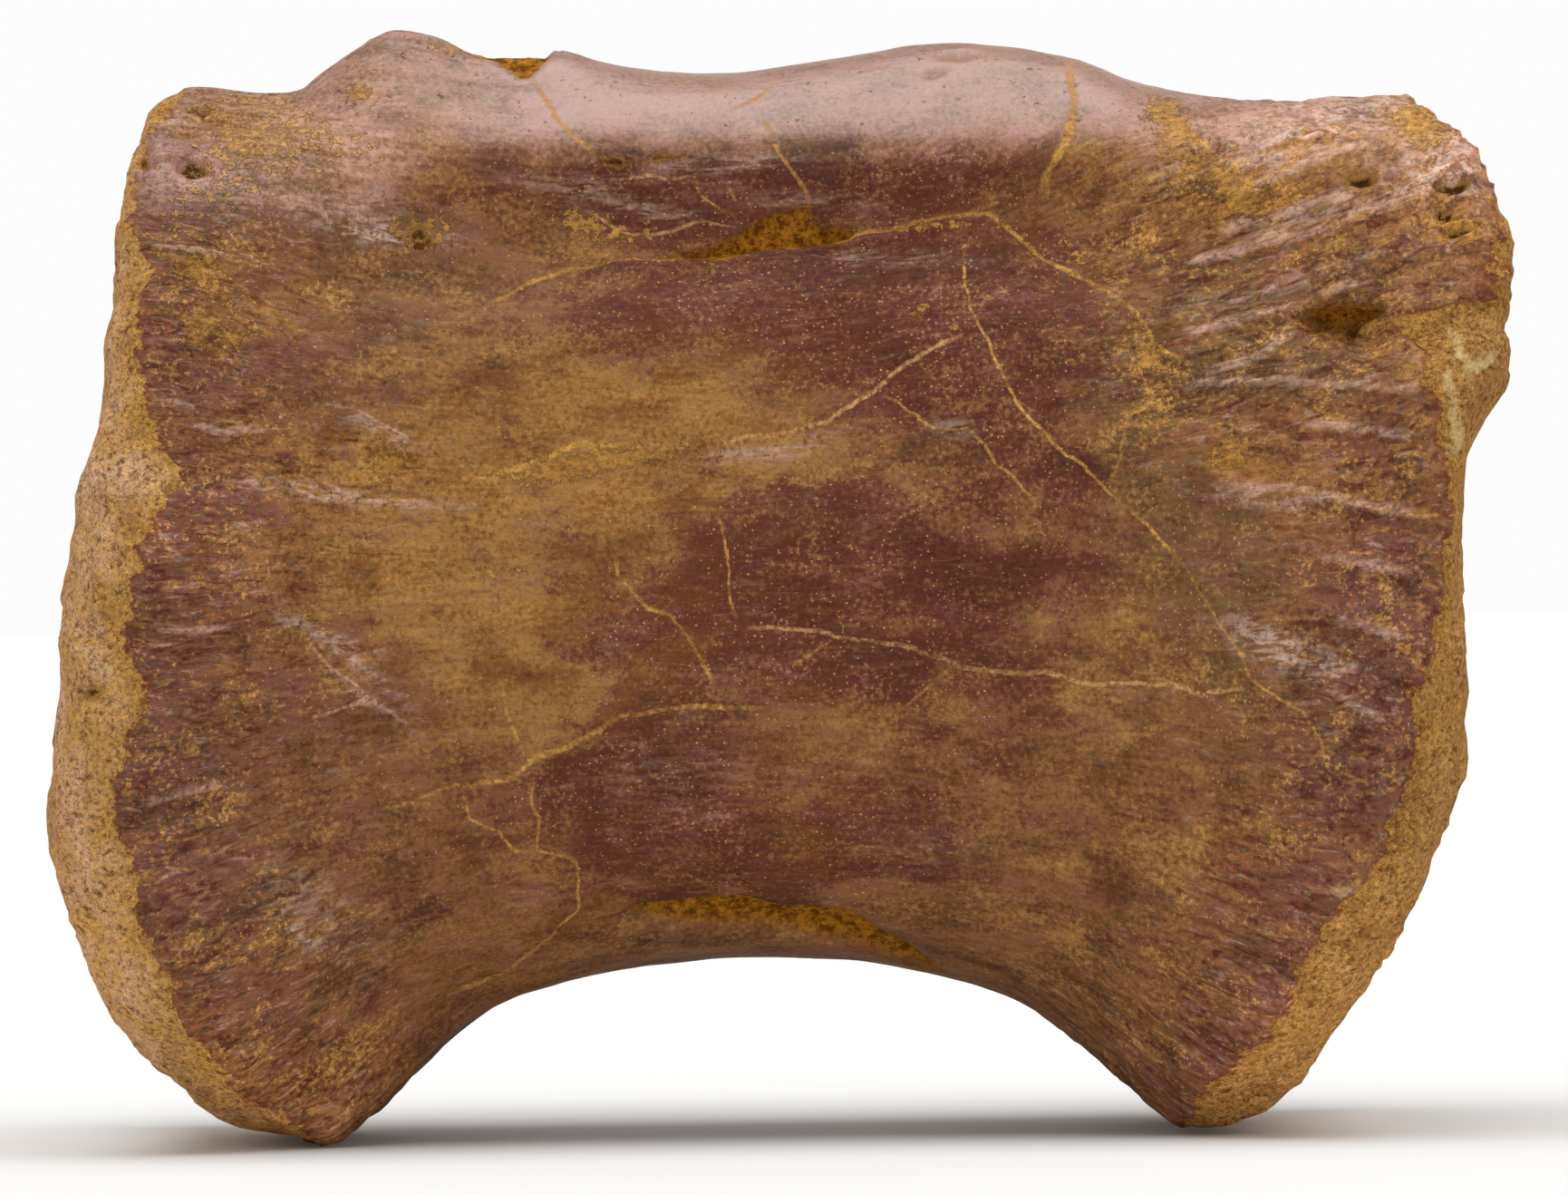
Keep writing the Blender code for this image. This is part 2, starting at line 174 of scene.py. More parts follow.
def grainy(points, size, seed):
    """Smooth noise from -1 to 1. Size is the length in mm of one lump of it, or three lengths."""
    lattice = np.random.default_rng(seed).uniform(-1, 1, (LATTICE, LATTICE, LATTICE))
    scaled = points / np.asarray(size, float) + LATTICE_START
    cell = np.floor(scaled).astype(int)
    part = scaled - cell
    part = part ** 3 * (part * (part * 6 - 15) + 10)
    total = 0
    for corner in np.ndindex(2, 2, 2):
        weight = np.prod(np.where(corner, part, 1 - part), axis=-1)
        index = (cell + corner) % LATTICE
        total = total + weight * lattice[index[..., 0], index[..., 1], index[..., 2]]
    return total


# The bone's grain. Fibres run from the waist to both rims and spread as they go, so every streak,
# ridge and pore of the skin is laid out along them.
WAIST_X = -4.0  # mm
REACH = 55.0  # mm, from the waist to a rim
SPREAD_RIGHT = 0.55  # how much the fibres have spread at the right rim
SPREAD_TOP_LEFT = 0.12
SPREAD_LOW_LEFT = 0.5
MOST_REACH = 1.15  # of REACH, past which the fibres spread no more

x, y, z = skin[..., 0], skin[..., 1], skin[..., 2]
px, py = in_photo(skin)
reach = np.abs(x - WAIST_X) / REACH
spread_left = SPREAD_TOP_LEFT + (SPREAD_LOW_LEFT - SPREAD_TOP_LEFT) * eased(z, 70, 25)
spread = 1 + np.where(x > WAIST_X, SPREAD_RIGHT, spread_left) * np.minimum(reach, MOST_REACH) ** 2
grain = np.stack([x * np.sqrt(spread), y / spread, (z - AXIS_HEIGHT) / spread], axis=-1)
near = eased(y, 4, -4)  # 1 on the side that the photograph shows
wander_x = 10 * grainy(skin, 5.0, 1) + 5 * grainy(skin, 1.7, 2)  # pixels
wander_y = 10 * grainy(skin, 5.0, 3) + 5 * grainy(skin, 1.7, 4)


# The rims. Cortical bone ends in a jagged edge before either rim, and beyond it the spongy bone
# inside lies bare, worn lower, rough and full of cells.
LEFT_EDGE = [
    (215, 104), (196, 125), (180, 150), (165, 175), (155, 200), (150, 235), (143, 265), (158, 290),
    (170, 313), (157, 343), (157, 387), (159, 430), (170, 473), (178, 495), (205, 528), (180, 570),
    (166, 599), (146, 657), (148, 694), (137, 715), (146, 737), (163, 785), (142, 815), (129, 858),
    (127, 913), (129, 930), (152, 963), (149, 997), (169, 1055), (189, 1080), (191, 1106), (205, 1135),
    (227, 1167), (244, 1188), (261, 1213), (292, 1232), (330, 1246), (360, 1275),
]
RIGHT_EDGE = [
    (1560, 118), (1600, 146), (1630, 180), (1648, 220), (1654, 265), (1646, 310), (1640, 346), (1538, 360),
    (1550, 384), (1573, 402), (1582, 450), (1592, 500), (1598, 560), (1591, 632), (1588, 674), (1576, 719),
    (1574, 746), (1556, 776), (1565, 812), (1556, 848), (1553, 884), (1537, 905), (1528, 947), (1512, 970),
    (1473, 1022), (1442, 1057), (1433, 1088), (1415, 1122), (1396, 1154), (1368, 1178), (1343, 1195),
    (1327, 1222), (1310, 1240), (1290, 1275),
]
JAG_LENGTH = 0.60  # mm, of the jags along the grain
EDGE_HEIGHT = 0.55  # mm, of the cortical edge over the spongy bone
EDGE_REACH = 7.0  # mm, over which the cortical bone rises to its edge
RIM_REACH = 13.0  # mm, over which the skin's marks fade in towards a rim
STEP = (-0.05, 0.35)  # mm past the edge, where the step down begins and ends
END_TURN = (0.72, 0.9)  # how far the skin faces along the bone, where an end face begins and is whole
END_START = (38, 44)  # mm from the bone's middle, likewise
END_BARE = 8.0  # mm past the edge, as which an end face counts
NOT_END_BARE = -52.0  # mm, as which the rest counts, so that it has no say
CRUMBLED_PATCH = 5.0  # mm, of the stretches that have crumbled or stayed firm
FIRM_SHARE = 0.3  # of the spongy bone's relief, where it has stayed firm


def beyond(edge, side):
    """How far the skin's points lie beyond a rim's cortical edge, in mm. Side is -1 or 1."""
    edge_x, edge_y = np.array(edge, float).T
    at = np.interp(py, edge_y, edge_x)
    slope = np.gradient(edge_x, edge_y)
    lean = np.interp(py, edge_y, np.convolve(np.pad(slope, 2, "edge"), np.ones(5) / 5, "valid"))
    return side * (px - at) / PIXELS_PER_MM / np.sqrt(1 + lean ** 2)


normal = outward(skin)
jags = JAG_LENGTH * (0.7 * grainy(grain, (9, 1.0, 1.0), 5) + grainy(grain, (5, 0.45, 0.45), 6))
bare = np.maximum(beyond(LEFT_EDGE, -1), beyond(RIGHT_EDGE, 1)) + jags
end_face = eased(np.abs(normal[..., 0]), *END_TURN) * eased(np.abs(x), *END_START)
bare = np.maximum(bare, end_face * (END_BARE - NOT_END_BARE) + NOT_END_BARE)
rim_nearness = np.exp(np.minimum(bare, 0) / RIM_REACH)
spongy = eased(bare, *STEP)
lift = EDGE_HEIGHT * np.exp(np.minimum(bare, 0) / EDGE_REACH) * (1 - spongy)
lumps = grainy(skin, 1.5, 7)
crumbled = FIRM_SHARE + (1 - FIRM_SHARE) * eased(grainy(skin, CRUMBLED_PATCH, 16), -0.1, 0.5)
spongy_relief = 0.30 * lumps + 0.18 * grainy(skin, 0.8, 8) - 0.35 * eased(-lumps, 0.25, 0.6) + 0.05
lift = lift + spongy * crumbled * spongy_relief
lift = lift + 0.35 * grainy(skin, 4.0, 15) * eased(bare, -2, 1)


# The end faces, where the next bones once met this one. Each is a shallow dish of dense bone with
# faint growth rings, worn through in places to the spongy bone, and open all round the rim.
FACE_HALF_WIDTH = 39.0  # mm
FACE_HALF_HEIGHT = 44.0  # mm
DENSE_START = 0.80  # share of the way out, inside which dense bone begins
DENSE_WHOLE = 0.58
DENSE_HEIGHT = 0.35  # mm, of the dense bone over the worn rim
RING_PHASE = 62.0  # radians, from the middle to the rim, for ten growth rings
RING_HEIGHT = 0.10  # mm
FACE_SWELL = 0.5  # mm

from_centre = np.hypot(y / FACE_HALF_WIDTH, (z - AXIS_HEIGHT) / FACE_HALF_HEIGHT)
dense_edge = from_centre + 0.14 * grainy(skin, 9.0, 41) + 0.07 * grainy(skin, 2.5, 42)
dense = end_face * eased(dense_edge, DENSE_START, DENSE_WHOLE)
dense = dense * eased(grainy(skin, 8.0, 43) + 0.5 * grainy(skin, 3.0, 44), 0.65, 0.25)
growth = np.sin(from_centre * RING_PHASE + 2.5 * grainy(skin, 9.0, 45))
dense_relief = DENSE_HEIGHT * dense + RING_HEIGHT * growth * dense
lift = lift + end_face * (dense_relief + FACE_SWELL * grainy(skin, 11.0, 46))


# Striae. Fine wrinkles run down the cortical bone to the rims, deepest on the upper right corner
# and beside both edges, and fade into a smooth waist.
STRIA_WIDTH = 0.75  # mm
STRIA_LENGTH = 14.0  # mm
STRIA_DEPTH = 0.36  # mm, beside the rims
WAIST_DEPTH = 0.02  # mm, in the middle
CORNER_X = (1080, 1400)  # pixels, across which the upper right corner's striae deepen
CORNER_Y = (620, 420)
CREST_HEIGHT = (79, 86)  # mm, up which the crest turns smooth
CREST_LEFT = (430, 600)  # pixels, between the rough corners
CREST_RIGHT = (1420, 1240)

furrow = 1 - np.abs(grainy(grain, (STRIA_LENGTH, STRIA_WIDTH, STRIA_WIDTH), 9)) * 2
finer = grainy(grain, (6, 0.55, 0.55), 10)
broad = grainy(grain, (20, 3.2, 3.2), 11)
upper_right = eased(px, *CORNER_X) * eased(py, *CORNER_Y) * near
between_corners = eased(px, *CREST_LEFT) * eased(px, *CREST_RIGHT)
smooth_crest = eased(z, *CREST_HEIGHT) * between_corners
striated = np.clip(np.maximum(1.2 * rim_nearness, upper_right), 0, 1)
depth = WAIST_DEPTH + (1 - 0.8 * smooth_crest) * STRIA_DEPTH * striated
cortical = 1 - spongy
lift = lift - cortical * depth * np.clip(furrow, -0.4, 1) * 0.8
lift = lift + cortical * depth * (0.3 * finer + 0.5 * broad)
lift = lift + 0.10 * grainy(skin, 7.0, 12) + 0.05 * grainy(skin, 3.0, 13) + 0.02 * grainy(skin, 1.2, 14)


# Pits, hollows and chips that wear has left in the stone. Each is (x, y, half width, half height,
# turn in degrees, depth in mm), placed by the photograph's pixels, and again on the far side with
# the bone turned end for end.
PITS = [
    (1462, 362, 26, 12, 0, 1.3), (1500, 358, 22, 9, -15, 1.2), (1482, 376, 16, 8, 0, 0.9),
    (1496, 208, 17, 7, 20, 0.8), (1606, 218, 19, 7, 10, 0.9), (1592, 247, 14, 7, 35, 0.8),
    (1603, 269, 14, 6, 20, 0.7), (219, 137, 13, 6, 10, 0.5), (205, 164, 10, 5, 0, 0.4),
    (214, 199, 14, 7, 0, 0.6), (154, 193, 8, 12, 0, 0.6), (464, 272, 17, 12, 0, 0.55),
    (374, 496, 24, 5, 12, 0.6), (97, 778, 10, 6, 0, 0.6), (1186, 513, 8, 5, 0, 0.3),
    (1536, 968, 7, 6, 0, 0.4), (1506, 1046, 8, 6, 0, 0.5), (1349, 1213, 8, 5, 0, 0.4),
    (676, 187, 22, 5, -6, 0.7), (722, 181, 24, 4, -10, 0.6), (560, 122, 8, 4, 0, 0.25),
    (434, 521, 22, 15, 0, 0.25), (1385, 530, 34, 13, 5, 0.3), (300, 320, 20, 26, 20, 0.2),
    (1052, 72, 16, 5, 0, 0.35), (1030, 92, 10, 4, 0, 0.25), (640, 540, 60, 18, -15, 0.25),
    (930, 680, 16, 12, 0, 0.12),
]
PIT_SHOW = 1.5  # times deeper, so that the soft light still finds them
HALF_FALL = 0.69  # brings an ellipse's strength to a half at its edge


def spot(at_x, at_y, middle_x, middle_y, half_width, half_height, turn):
    """1 in the middle of an ellipse of the photograph, 0.5 at its edge and 0 well outside."""
    angle = math.radians(turn)
    right = at_x - middle_x
    down = at_y - middle_y
    long_way = (right * math.cos(angle) + down * math.sin(angle)) / half_width
    short_way = (down * math.cos(angle) - right * math.sin(angle)) / half_height
    return np.exp(-HALF_FALL * (long_way ** 2 + short_way ** 2))


faces_camera = eased(-normal[..., 1], 0.0, 0.25) * near
faces_out = eased(np.abs(normal[..., 1]), 0.0, 0.25) * eased(np.abs(y), 0, 4)
turned_x = np.where(y < 0, px, PHOTO_WIDTH - px)
hollow = np.zeros_like(x)
ragged_x = 5 * grainy(skin, 0.8, 16)  # pixels
ragged_y = 5 * grainy(skin, 0.8, 17)
for middle_x, middle_y, half_width, half_height, turn, deep in PITS:
    dent = spot(turned_x + wander_x * 0.6 + ragged_x, py + wander_y * 0.6 + ragged_y,
                middle_x, middle_y, half_width, half_height, turn)
    dent = eased(dent, 0.15, 0.85) * faces_out
    lift = lift - PIT_SHOW * deep * dent
    hollow = np.maximum(hollow, dent * min(1, 1.4 * deep))


# Cracks, filled with tan mineral since the bone was buried. Each follows the photograph's pixels.
# Cracks that meet are kept in different sets, so that each set can give one clean offset.
CRACKS = [
    {"suture": [(540, 345), (590, 322), (630, 308), (679, 302), (744, 300), (787, 294), (836, 291),
        (874, 286), (912, 281), (950, 270), (988, 264), (1015, 256), (1043, 253), (1070, 248), (1091, 248),
        (1113, 264), (1140, 289), (1167, 308), (1200, 321), (1227, 336), (1252, 354), (1265, 374),
        (1278, 395), (1298, 405), (1310, 420)],
     "shoulder ledge": [(668, 210), (695, 207), (717, 202), (744, 210), (777, 199)],
     "furrow fork": [(800, 208), (809, 226), (815, 243)],
     "long low crack": [(820, 702), (863, 703), (904, 708), (927, 717), (973, 722), (1001, 722),
        (1024, 734), (1062, 745), (1113, 752), (1139, 750), (1170, 754), (1185, 762), (1221, 765),
        (1284, 765), (1323, 775), (1360, 770), (1381, 764)],
     "lower left crack": [(848, 790), (790, 790), (749, 792), (723, 796), (682, 802), (657, 818),
        (624, 838), (586, 848), (563, 870), (502, 879), (438, 899), (426, 908)],
     "middle right crack": [(974, 446), (994, 459), (1022, 479), (1038, 484), (1068, 484), (1086, 502),
        (1096, 522), (1119, 540), (1130, 552), (1155, 568)]},
    {"long right crack": [(1063, 280), (1068, 344), (1079, 372), (1102, 415), (1124, 459), (1137, 476),
        (1158, 499), (1196, 525), (1224, 556), (1257, 584), (1283, 609), (1298, 629), (1315, 653),
        (1333, 677), (1348, 704), (1372, 734), (1381, 755), (1390, 767), (1414, 785), (1441, 800),
        (1453, 824), (1468, 851), (1498, 869), (1519, 884)],
     "centre crack": [(788, 572), (795, 597), (802, 625), (807, 675), (813, 698)],
     "centre left crack": [(676, 613), (685, 646), (699, 666), (719, 682), (742, 687), (756, 711),
        (777, 746), (792, 774)],
     "furrow stem": [(768, 205), (771, 224), (787, 234), (804, 248)],
     "short fork": [(1050, 747), (1024, 770), (994, 798)],
     "short spur": [(912, 723), (890, 736), (866, 749)],
     "left stem": [(553, 760), (558, 786), (566, 819), (579, 844)],
     "low stem": [(588, 862), (586, 903), (596, 913), (594, 949), (630, 958), (639, 962), (640, 1020),
        (614, 1038), (579, 1066), (553, 1087), (489, 1109)],
     "chip crack": [(580, 88), (597, 115), (619, 148), (649, 175), (663, 188)],
     "top left crack": [(857, 98), (847, 110), (825, 125), (796, 137)],
     "top right crack": [(1178, 66), (1181, 91), (1186, 123), (1178, 161), (1162, 194), (1146, 232)],
     "corner crack": [(1275, 109), (1269, 130), (1285, 142), (1307, 148), (1334, 175), (1313, 195)]},
    {"right loop": [(1252, 357), (1255, 395), (1260, 423), (1269, 443), (1265, 459), (1247, 469),
        (1239, 497), (1234, 522), (1225, 550)],
     "branch": [(1066, 379), (1038, 395), (1002, 413), (977, 433), (959, 446), (926, 464), (905, 478),
        (869, 486), (820, 494), (780, 500)],
     "low left fork": [(507, 882), (517, 913), (548, 928), (568, 949), (594, 950)],
     "top crack": [(836, 129), (850, 156), (861, 183), (877, 202), (891, 226), (896, 248)],
     "furrow ledge": [(646, 243), (673, 259), (695, 270), (722, 272), (744, 267), (777, 253), (815, 264)],
     "tan squiggle": [(495, 543), (545, 537), (593, 519), (640, 500), (700, 505)],
     "white scratch": [(352, 700), (340, 719), (376, 758), (420, 790), (460, 818)],
     "white scratch beside": [(334, 806), (400, 785), (436, 800)],
     "upper white line": [(382, 454), (430, 485), (465, 506)],
     "lower white line": [(311, 541), (361, 554), (404, 563), (473, 564)],
     "ridge line": [(1412, 552), (1480, 562), (1530, 572), (1582, 588)]},
]
CRACK_WIDTHS = {"suture": 3.5, "long right crack": 2.3, "branch": 3.4, "top right crack": 6.5,
                "long low crack": 3.2, "chip crack": 3.6, "top crack": 3.0, "lower left crack": 3.4,
                "centre left crack": 3.0, "tan squiggle": 4.5}
CRACK_WIDTH = 2.3  # pixels, half the width of every other crack
PALE_CRACKS = {"branch": 0.35, "shoulder ledge": 0.3, "furrow ledge": 0.4, "white scratch": 1.0,
               "white scratch beside": 1.0, "upper white line": 0.9, "lower white line": 0.6,
               "long low crack": 0.3}
CRACK_END = 30  # pixels, over which a crack's ends die out
CRACK_DEPTH = 0.10  # mm
CRACK_REACH = 0.3  # mm, to each side
TOO_FAR = 24  # pixels, beyond which a crack has no say
LIP_HEIGHT = 1.4  # mm, of the bone under the suture over the furrow above it
LIP_REACH = 5.0  # mm


def from_line(at_x, at_y, line):
    """Signed distance from a line of the photograph in pixels, and distance from its nearer end."""
    best = np.full(at_x.shape, 1e9)
    offset = np.zeros(at_x.shape)
    walked = np.zeros(at_x.shape)
    line = np.array(line, float)
    lengths = np.linalg.norm(np.diff(line, axis=0), axis=1)
    total = lengths.sum()
    start = 0.0
    for (ax, ay), (bx, by), length in zip(line[:-1], line[1:], lengths):
        ux, uy = (bx - ax) / length, (by - ay) / length
        along = (at_x - ax) * ux + (at_y - ay) * uy
        held = np.clip(along, 0, length)
        away = np.hypot(at_x - ax - held * ux, at_y - ay - held * uy)
        closer = away < best
        best = np.where(closer, away, best)
        offset = np.where(closer, ((at_x - ax) * uy - (at_y - ay) * ux), offset)
        walked = np.where(closer, start + along, walked)
        start += length
    offset = np.sign(offset) * best
    return offset, np.minimum(walked, total - walked)


crack_sets = []
crack_x = turned_x + 3.0 * grainy(skin, 2.6, 21) + 1.5 * grainy(skin, 1.0, 22)
crack_y = py + 3.0 * grainy(skin, 2.6, 23) + 1.5 * grainy(skin, 1.0, 24)
broken = 0.85 + 0.45 * grainy(skin, 4.0, 25)
for lines in CRACKS:
    best = np.full(x.shape, 1e9)
    offset = np.full(x.shape, 99.0)
    strength = np.zeros(x.shape)
    pale = np.zeros(x.shape)
    for name, line in lines.items():
        away, from_end = from_line(crack_x, crack_y, line)
        away = away / (CRACK_WIDTHS.get(name, CRACK_WIDTH) / CRACK_WIDTH)
        closer = np.abs(away) < best
        shown = eased(from_end, -2, CRACK_END) * eased(np.abs(away), TOO_FAR, TOO_FAR / 2)
        best = np.where(closer, np.abs(away), best)
        offset = np.where(closer, away, offset)
        strength = np.where(closer, shown, strength)
        pale = np.where(closer, PALE_CRACKS.get(name, 0.0), pale)
    strength = strength * eased(np.abs(y), 0, 3) * np.clip(broken, 0.4, 1) * (1 - end_face)
    offset = np.clip(offset, -TOO_FAR, TOO_FAR) / PIXELS_PER_MM
    crack_sets.append(np.stack([offset, strength, pale], axis=-1))
    lift = lift - CRACK_DEPTH * strength * np.exp(-(offset / CRACK_REACH) ** 2)

below = -from_line(crack_x, crack_y, CRACKS[0]["suture"])[0] / PIXELS_PER_MM
lip = eased(below, -0.2, 0.5) * np.exp(-np.maximum(below, 0) / LIP_REACH)
lift = lift + LIP_HEIGHT * lip * eased(px, 600, 700) * eased(px, 1130, 1020) * faces_camera


# Ridges. Towards the rims the wrinkles gather into long ridges, with a groove under each and a crest
# painted pale, partly for wear and partly as a painted highlight.
RIDGES = [
    [(1291, 382), (1345, 373), (1394, 359), (1436, 349)],
    [(1316, 425), (1378, 410), (1411, 390), (1444, 371)],
    [(1283, 445), (1345, 433), (1427, 433), (1510, 437), (1592, 441)],
    [(1411, 476), (1469, 480), (1551, 489), (1588, 497)],
    [(1403, 546), (1469, 559), (1530, 571), (1584, 588)], [(1444, 344), (1493, 328), (1526, 320)],
    [(1357, 233), (1411, 204), (1469, 184), (1522, 169)],
    [(1328, 274), (1378, 254), (1436, 237), (1510, 225)],
    [(1295, 307), (1353, 291), (1411, 274), (1493, 262)], [(1440, 625), (1500, 632), (1580, 650)],
    [(1455, 690), (1520, 705), (1568, 722)], [(1450, 770), (1500, 790), (1548, 812)],
    [(150, 286), (206, 290), (262, 292)], [(185, 478), (240, 486), (310, 490)],
    [(150, 700), (210, 706), (270, 700)], [(136, 900), (200, 885), (262, 872)],
]
RIDGE_HEIGHT = 0.35  # mm
RIDGE_WIDTH = 0.45  # mm, half of it
GROOVE_PLACE = 1.0  # mm, under its ridge
GROOVE_SHARE = 0.8  # of the ridge's height

# The crests also carry a painted highlight, as pale colour.
ridge = np.zeros_like(x)
for line in RIDGES:
    away, from_end = from_line(crack_x, crack_y, line)
    down = -away / PIXELS_PER_MM
    ends = eased(from_end, -6, 40) * faces_camera
    crest = np.exp(-(down / RIDGE_WIDTH) ** 2) * ends
    ridge = np.maximum(ridge, crest)
    groove = np.exp(-((down - GROOVE_PLACE) / RIDGE_WIDTH) ** 2) * ends
    lift = lift + RIDGE_HEIGHT * (crest - GROOVE_SHARE * groove)


# Sediment. Ochre sand from the river bed still fills the pocket under the upper furrow, the long
# slit above the belly, the chip in the crest and the roots of the rim pits.
POCKETS = [[(742, 292), (780, 284), (813, 268), (850, 252), (891, 246), (905, 262), (947, 264),
            (930, 275), (891, 284), (845, 292), (790, 298)],
           [(694, 1011), (747, 1004), (828, 1003), (868, 1011), (908, 1012), (940, 1019), (975, 1043),
            (1015, 1062), (1042, 1081), (1020, 1077), (988, 1067), (935, 1048), (881, 1040),
            (828, 1032), (769, 1030), (715, 1022)],
           [(502, 58), (540, 55), (613, 60), (600, 78), (582, 98), (566, 88), (545, 76), (520, 70)],
           [(1436, 356), (1450, 347), (1480, 346), (1516, 352), (1512, 366), (1490, 372), (1462, 372),
            (1440, 366)]]
POCKET_DEPTH = 0.9  # mm


def inside(at_x, at_y, outline):
    """Distance inside a closed outline of the photograph in pixels. Outside it is below 0."""
    closed = outline + [outline[0]]
    away = np.abs(from_line(at_x, at_y, closed)[0])
    odd = np.zeros(at_x.shape, bool)
    for (ax, ay), (bx, by) in zip(closed[:-1], closed[1:]):
        if ay != by:
            crosses = ((ay > at_y) != (by > at_y)) & (at_x < (bx - ax) * (at_y - ay) / (by - ay) + ax)
            odd ^= crosses
    return np.where(odd, away, -away)


sediment = np.zeros_like(x)
for outline in POCKETS:
    filled = eased(inside(px + wander_x * 0.5, py + wander_y * 0.5, outline), -4, 5) * eased(y, 3, -2)
    sediment = np.maximum(sediment, filled)
sand_relief = 0.15 * grainy(skin, 1.0, 31) + 0.15 * grainy(skin, 0.6, 32) - POCKET_DEPTH
lift = lift + sediment * sand_relief


# Stains. Minerals from the ground have coloured the stone in clouds: ochre iron stains, dark maroon, which
# in the furrow under the shoulder also stands for painted shade, purple-brown beside the rims, olive, and
# thin milky lilac where the surface is scratched. Cream is a film of lime in the broken edge on the right,
# and crust is ochre sand that has set hard. The last list is painted light: clouds where the stone is
# lightened to stand in for light, mostly low down where the surface turns away from the light, and in part
# where rubbing has left it pale. Each is (x, y, half width, half height, turn, strength).
OCHRE = [
    (620, 490, 190, 70, -8, 1), (760, 440, 80, 45, 15, 0.7), (690, 560, 110, 40, -8, 1),
    (500, 640, 150, 80, 10, 0.8), (620, 730, 150, 60, -10, 0.8), (430, 560, 100, 60, 0, 0.5),
    (600, 800, 90, 35, -20, 0.5), (600, 970, 90, 45, 0, 0.4), (560, 1060, 90, 40, -30, 0.4),
    (240, 140, 80, 30, 0, 0.5), (420, 170, 110, 40, 10, 0.35), (1230, 190, 90, 35, 10, 0.6),
    (1350, 200, 60, 40, 20, 0.5), (1480, 185, 90, 30, -25, 0.5), (1440, 260, 110, 40, -20, 0.3),
    (1200, 310, 90, 30, 25, 0.5), (890, 830, 45, 50, 0, 0.7), (900, 950, 50, 40, 0, 0.4),
    (1370, 535, 45, 18, 0, 0.7), (1230, 720, 90, 60, 30, 0.35), (1140, 900, 160, 90, 30, 0.3),
    (300, 350, 60, 35, 20, 0.5), (230, 690, 30, 90, 0, 0.2), (1330, 900, 110, 60, 30, 0.15),
    (820, 520, 90, 25, -8, 0.7), (960, 545, 60, 12, -5, 0.3), (224, 370, 17, 22, 0, 1),
    (260, 380, 9, 9, 0, 1), (216, 308, 22, 8, 0, 1), (434, 521, 26, 16, 0, 1), (1454, 171, 30, 12, -20, 1),
    (1337, 226, 33, 15, 0, 1), (1326, 180, 12, 18, 0, 0.9), (1568, 155, 30, 25, 30, 1),
    (1290, 140, 24, 16, 50, 1), (1345, 205, 50, 24, 35, 1), (1590, 410, 60, 50, 0, 0.9),
    (1352, 518, 18, 15, 0, 0.9), (1600, 262, 22, 12, 0, 0.9), (400, 110, 14, 8, 0, 0.8),
    (250, 155, 40, 10, 20, 0.8),
]
# Maroon. The first three clouds, and those at (640, 230) and (720, 250), lie in the furrow under the
# shoulder, where they paint shade over the stone's own maroon.
MAROON_AND_SHADE = [
    (900, 215, 240, 32, -2, 0.8), (860, 220, 220, 26, -3, 0.8), (720, 225, 90, 26, 5, 0.8),
    (960, 340, 150, 50, 0, 0.8), (900, 340, 210, 45, -6, 1), (1020, 420, 130, 60, 10, 0.9),
    (1120, 500, 90, 45, 30, 0.5), (1020, 560, 90, 35, 0, 0.6), (980, 330, 120, 40, 0, 0.6),
    (820, 640, 110, 60, 0, 0.7), (760, 720, 90, 50, 0, 0.8), (1040, 650, 110, 60, 0, 0.7),
    (980, 740, 150, 35, 0, 0.7), (700, 880, 80, 40, -20, 0.6), (760, 970, 140, 30, 0, 0.6),
    (880, 900, 200, 60, 0, 0.35), (640, 230, 100, 35, 0, 0.4), (720, 250, 70, 25, 0, 0.6),
    (1180, 620, 60, 60, 0, 0.3), (900, 660, 160, 90, 0, 0.6), (720, 820, 100, 40, -15, 0.7),
    (1060, 350, 110, 60, 0, 0.7), (640, 880, 70, 35, -20, 0.5), (800, 960, 220, 50, 0, 0.5),
    (1100, 820, 120, 60, 0, 0.3),
]
PURPLE = [
    (200, 400, 50, 80, 0, 0.8), (215, 560, 60, 40, 0, 0.7), (190, 660, 60, 60, 0, 0.8),
    (175, 760, 45, 40, 0, 0.7), (180, 880, 65, 60, 0, 1), (200, 990, 70, 45, 10, 0.8),
    (260, 1090, 90, 40, 35, 0.5), (330, 1170, 90, 30, 40, 0.3), (330, 260, 150, 40, 5, 0.5),
    (330, 420, 110, 50, 20, 0.5), (330, 800, 110, 60, 0, 0.35), (1530, 470, 50, 60, 0, 0.5),
    (1530, 650, 60, 60, 0, 0.9), (1520, 770, 60, 50, 0, 0.9), (1490, 870, 70, 50, 0, 0.9),
    (1440, 990, 60, 40, 35, 0.6), (1410, 1090, 60, 35, 45, 0.9), (1345, 1170, 45, 30, 40, 1),
    (1300, 1210, 50, 20, 35, 0.5), (200, 220, 50, 60, 0, 0.5), (1350, 620, 60, 50, 0, 0.35),
    (1400, 420, 100, 30, 0, 0.3),
]
OLIVE = [
    (920, 600, 130, 45, 0, 0.8), (1340, 330, 130, 55, -15, 0.8), (1300, 440, 90, 60, 0, 0.7),
    (1330, 620, 90, 80, 0, 0.7), (1300, 710, 80, 60, 0, 0.6), (1420, 390, 110, 50, -15, 0.7),
    (1240, 520, 60, 60, 0, 0.5), (420, 300, 120, 40, 5, 0.4), (420, 380, 110, 50, 10, 0.5),
    (1360, 800, 120, 60, 20, 0.4), (900, 540, 110, 25, -5, 0.5), (1420, 250, 120, 45, -20, 0.5),
    (330, 1090, 90, 50, 40, 0.3),
]
